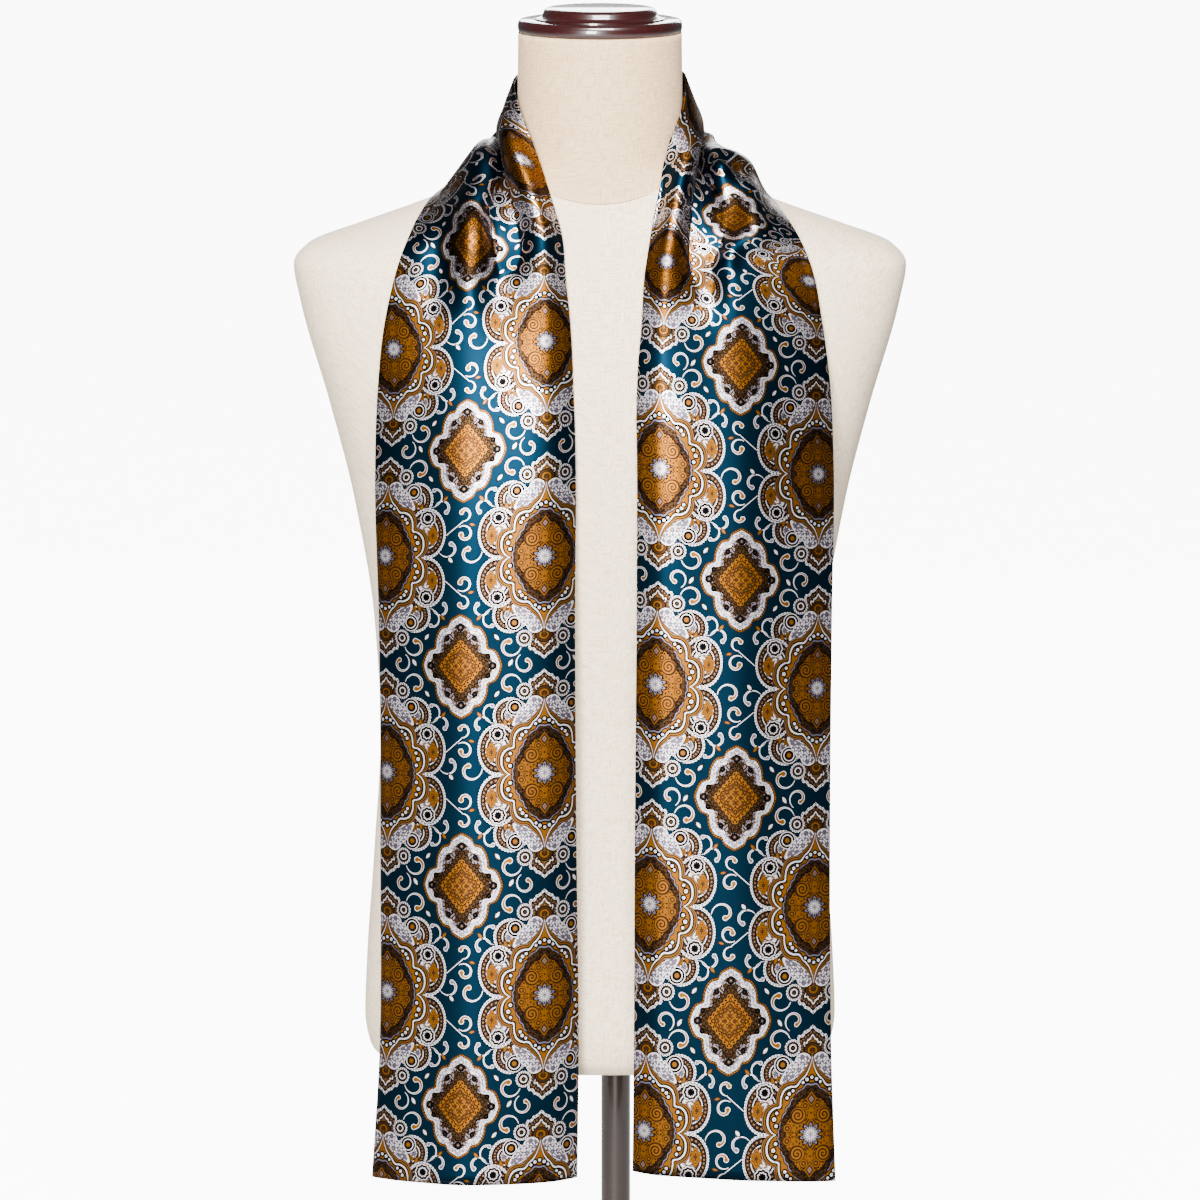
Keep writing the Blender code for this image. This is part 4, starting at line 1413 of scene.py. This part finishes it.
# %% The profiles
# Radius and how far down from the cap's top, m.
CAP_PROFILE = (
    (0.0, 0.0), (0.0360, 0.0), (0.0385, 0.0002), (0.0402, 0.0008), (0.0413, 0.0018),
    (0.0420, 0.0034), (0.0424, 0.0048), (0.0436, 0.0062), (0.0460, 0.0072), (0.0480, 0.0076),
    (0.0480, 0.0085), (0.0573, 0.0085), (0.0590, 0.0089), (0.0602, 0.0100), (0.0608, 0.0120),
    (0.0608, 0.0150), (0.0603, 0.0170), (0.0592, 0.0180), (0.0, 0.0180),
)
# Radius and height above the ground, m.
BASE_PROFILE = (
    (0.0, 0.032), (0.0200, 0.032), (0.0228, 0.0308), (0.0240, 0.028), (0.0240, 0.018),
    (0.1440, 0.018), (0.1470, 0.0172), (0.1492, 0.0150), (0.1500, 0.012), (0.1500, 0.0),
    (0.0, 0.0),
)
POLE_RADIUS = 0.0110  # m
POLE_OFFSET = 0.0120  # m, the pole stands a little aside of the cap's axis
FORM_DEPTH = 0.796  # m, from the cap's top to the form's underside
FIT_GAP = 0.0003  # m, left between the pole and what it touches
TURNED_SIDES = 128
SHARP = math.radians(40)


# %% The lathe
def turned(name, profile, surface, offset):
    """Spins a profile of (radius, height), from axis to axis, round a standing axis."""
    turns = np.arange(TURNED_SIDES) * 2 * math.pi / TURNED_SIDES
    rings = [(radius, height) for radius, height in profile if radius > 0]
    points = [
        (offset + radius * math.cos(turn), radius * math.sin(turn), height)
        for radius, height in rings for turn in turns
    ]
    corner = ring_numbers(len(rings), TURNED_SIDES)
    faces = between_rows(corner).tolist()
    faces += [corner[0, :-1].tolist(), corner[-1, :-1][::-1].tolist()]
    mesh = bpy.data.meshes.new(name)
    mesh.from_pydata(points, [], faces)
    mesh.materials.append(surface)
    mesh.shade_smooth()
    mesh.set_sharp_from_angle(angle=SHARP)
    print(f"{name}: {len(faces)} faces")
    return put(name, mesh)


# %% [markdown]
# ## Lacquer and varnish
# The cap is red mahogany under many coats of clear lacquer. The eye gets a nearly black red
# and small, hard white highlights. So a smooth coat lies over a streaky base colour, and the
# streaks run across the cap as the board's grain does. The pole and base have one coat of
# varnish over a brown wood, so they shine less, and their grain runs up the pole.

# %% Wood under a clear coat
WOOD_ROUGHNESS = 0.3
LACQUER_ROUGHNESS = 0.04
BOARD_GRAIN = (40.0, 500.0, 500.0)  # 1/m: streaks about 2 mm wide and 25 mm long
POLE_GRAIN = (300.0, 300.0, 20.0)  # 1/m: about 3 mm wide and 50 mm long


def wood(name, light, dark, grain, coat):
    """A streaky wood under a clear coat, from none at 0 to a full one at 1."""
    made, shader = mottled(name, WOOD_ROUGHNESS, light, dark, grain)
    shader.inputs["Coat Weight"].default_value = coat
    shader.inputs["Coat Roughness"].default_value = LACQUER_ROUGHNESS
    return made


# %% The three turned pieces
mahogany = wood("lacquered mahogany", "#300505", "#0B0303", BOARD_GRAIN, 1.0)
dark_wood = wood("varnished dark wood", "#241006", "#120804", POLE_GRAIN, 0.3)
cap = turned(
    "turned_cap", [(radius, TOP - down) for radius, down in CAP_PROFILE], mahogany, 0.0
)
pole_top = TOP - FORM_DEPTH - FIT_GAP
pole_foot = BASE_PROFILE[0][1] + FIT_GAP
pole = turned(
    "turned_pole", [(POLE_RADIUS, pole_top), (POLE_RADIUS, pole_foot)], dark_wood, POLE_OFFSET
)
base = turned("turned_base", BASE_PROFILE, dark_wood, POLE_OFFSET)

# %% [markdown]
# ## What rides on what
# The scarf stands for its three solids and the linen skin for the form's. The turned pieces
# stand for one each, and the stitches are added. Nothing moves, so every piece rides on the
# one body. The scarf is one sheet of 0.49 m by 1.90 m when it lies flat.

# %% Handing each piece over
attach(scarf, "root")
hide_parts("scarf_neck", "scarf_left_tail", "scarf_right_tail")
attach(form, "root")
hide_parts("dress_form_torso")
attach(seams, "root")
for made, solid, slot in (
    (cap, "neck_cap", "mahogany"), (pole, "stand_pole", "dark_wood"),
    (base, "stand_base", "dark_wood"),
):
    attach(made, "root")
    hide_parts(solid)

# %% [markdown]
# ## Studio
# The floor is a plain pale plane, and the light is soft and from the front, as it was for
# the photograph. The world is white to the camera and dimmer as a light, so that the sides
# of the form keep their shade.

# %% The white floor and world
FLOOR_HALF = 30.0  # m, far enough for its edge not to show
FLOOR_DROP = 0.0005  # m, which keeps the floor clear of the base's flat underside
STUDIO_GLOW = 10.0  # how strongly the floor and the world glow for the camera alone
WORLD_LIGHT = 0.13  # and how strongly the world lights the things


def add_floor():
    """A matt plane that takes the stand's soft shade and is white to the camera."""
    mesh = bpy.data.meshes.new("floor")
    half = FLOOR_HALF
    mesh.from_pydata(
        [(-half, -half, 0), (half, -half, 0), (half, half, 0), (-half, half, 0)],
        [], [(0, 1, 2, 3)],
    )
    pale, tree, shader = new_material("pale floor", 0.9)
    shader.inputs["Base Color"].default_value = colour_of("#C4C4C4")
    shader.inputs["Specular IOR Level"].default_value = 0.0
    shader.inputs["Emission Color"].default_value = colour_of("#FFFFFF")
    path = add_node(tree, "ShaderNodeLightPath")
    glow = Field(tree, path.outputs["Is Camera Ray"]) * STUDIO_GLOW
    tree.links.new(glow.output, shader.inputs["Emission Strength"])
    mesh.materials.append(pale)
    made = put("floor", mesh)
    made.location.z = -FLOOR_DROP


def set_world():
    """The white room: bright to the camera, and a faint light from all sides."""
    world = bpy.data.worlds.new("white studio")
    world.use_nodes = True
    tree = world.node_tree
    path = add_node(tree, "ShaderNodeLightPath")
    seen = Field(tree, path.outputs["Is Camera Ray"])
    strength = seen.scaled(STUDIO_GLOW - WORLD_LIGHT, WORLD_LIGHT)
    back = tree.nodes["Background"]
    back.inputs["Color"].default_value = colour_of("#FFFFFF")
    tree.links.new(strength.output, back.inputs["Strength"])
    bpy.context.scene.world = world


# %% [markdown]
# ## Camera and soft boxes
# The camera is where the ellipses of the cap and the curves of the hems say that it was. The
# big box stands beside it, a little to the left, and gives the silk its sheen. One above
# draws the cap's highlights and brightens the shoulders, and a weak one behind lights the
# back.

# %% The camera and the lights
CAMERA_BACK = 5.0  # m in front of the form's axis
CAMERA_UP = 0.455  # m above the cap's top
CAMERA_DOWN = 10.2  # degrees
LENS, SENSOR = 203.2, 36  # mm
CAMERA_REACH = 200  # m
# Each soft box: name, place and target in metres, width and height, and watts.
SOFT_BOXES = (
    ("front soft box", (-1.1, -5.3, 1.3), (0, 0, 0.70), (1.3, 1.7), 650),
    ("top soft box", (0.1, -2.2, 3.4), (0, 0, 0.95), (1.6, 1.2), 420),
    ("back soft box", (0.3, 3.6, 1.85), (0, 0, 1.05), (2.4, 0.8), 60),
)


def add_soft_light(name, place, target, size, watts):
    """A rectangle of light, turned to its target."""
    data = bpy.data.lights.new(name, "AREA")
    data.shape = "RECTANGLE"
    data.size, data.size_y = size
    data.energy = watts
    made = put(name, data)
    made.location = place
    aim = np.array(target) - np.array(place)
    made.rotation_mode = "QUATERNION"
    made.rotation_quaternion = Vector(aim).to_track_quat("-Z", "Y")


def add_camera():
    """The photograph's camera, level from side to side."""
    data = bpy.data.cameras.new("camera")
    data.sensor_width = SENSOR
    data.lens = LENS
    data.clip_end = CAMERA_REACH
    made = put("camera", data)
    made.location = (0, -CAMERA_BACK, TOP + CAMERA_UP)
    made.rotation_euler = (math.radians(90 - CAMERA_DOWN), 0, 0)
    bpy.context.scene.camera = made


# %% Lighting the scene
add_floor()
for box in SOFT_BOXES:
    add_soft_light(*box)
set_world()
add_camera()
print("camera at", [round(x, 3) for x in bpy.context.scene.camera.location])
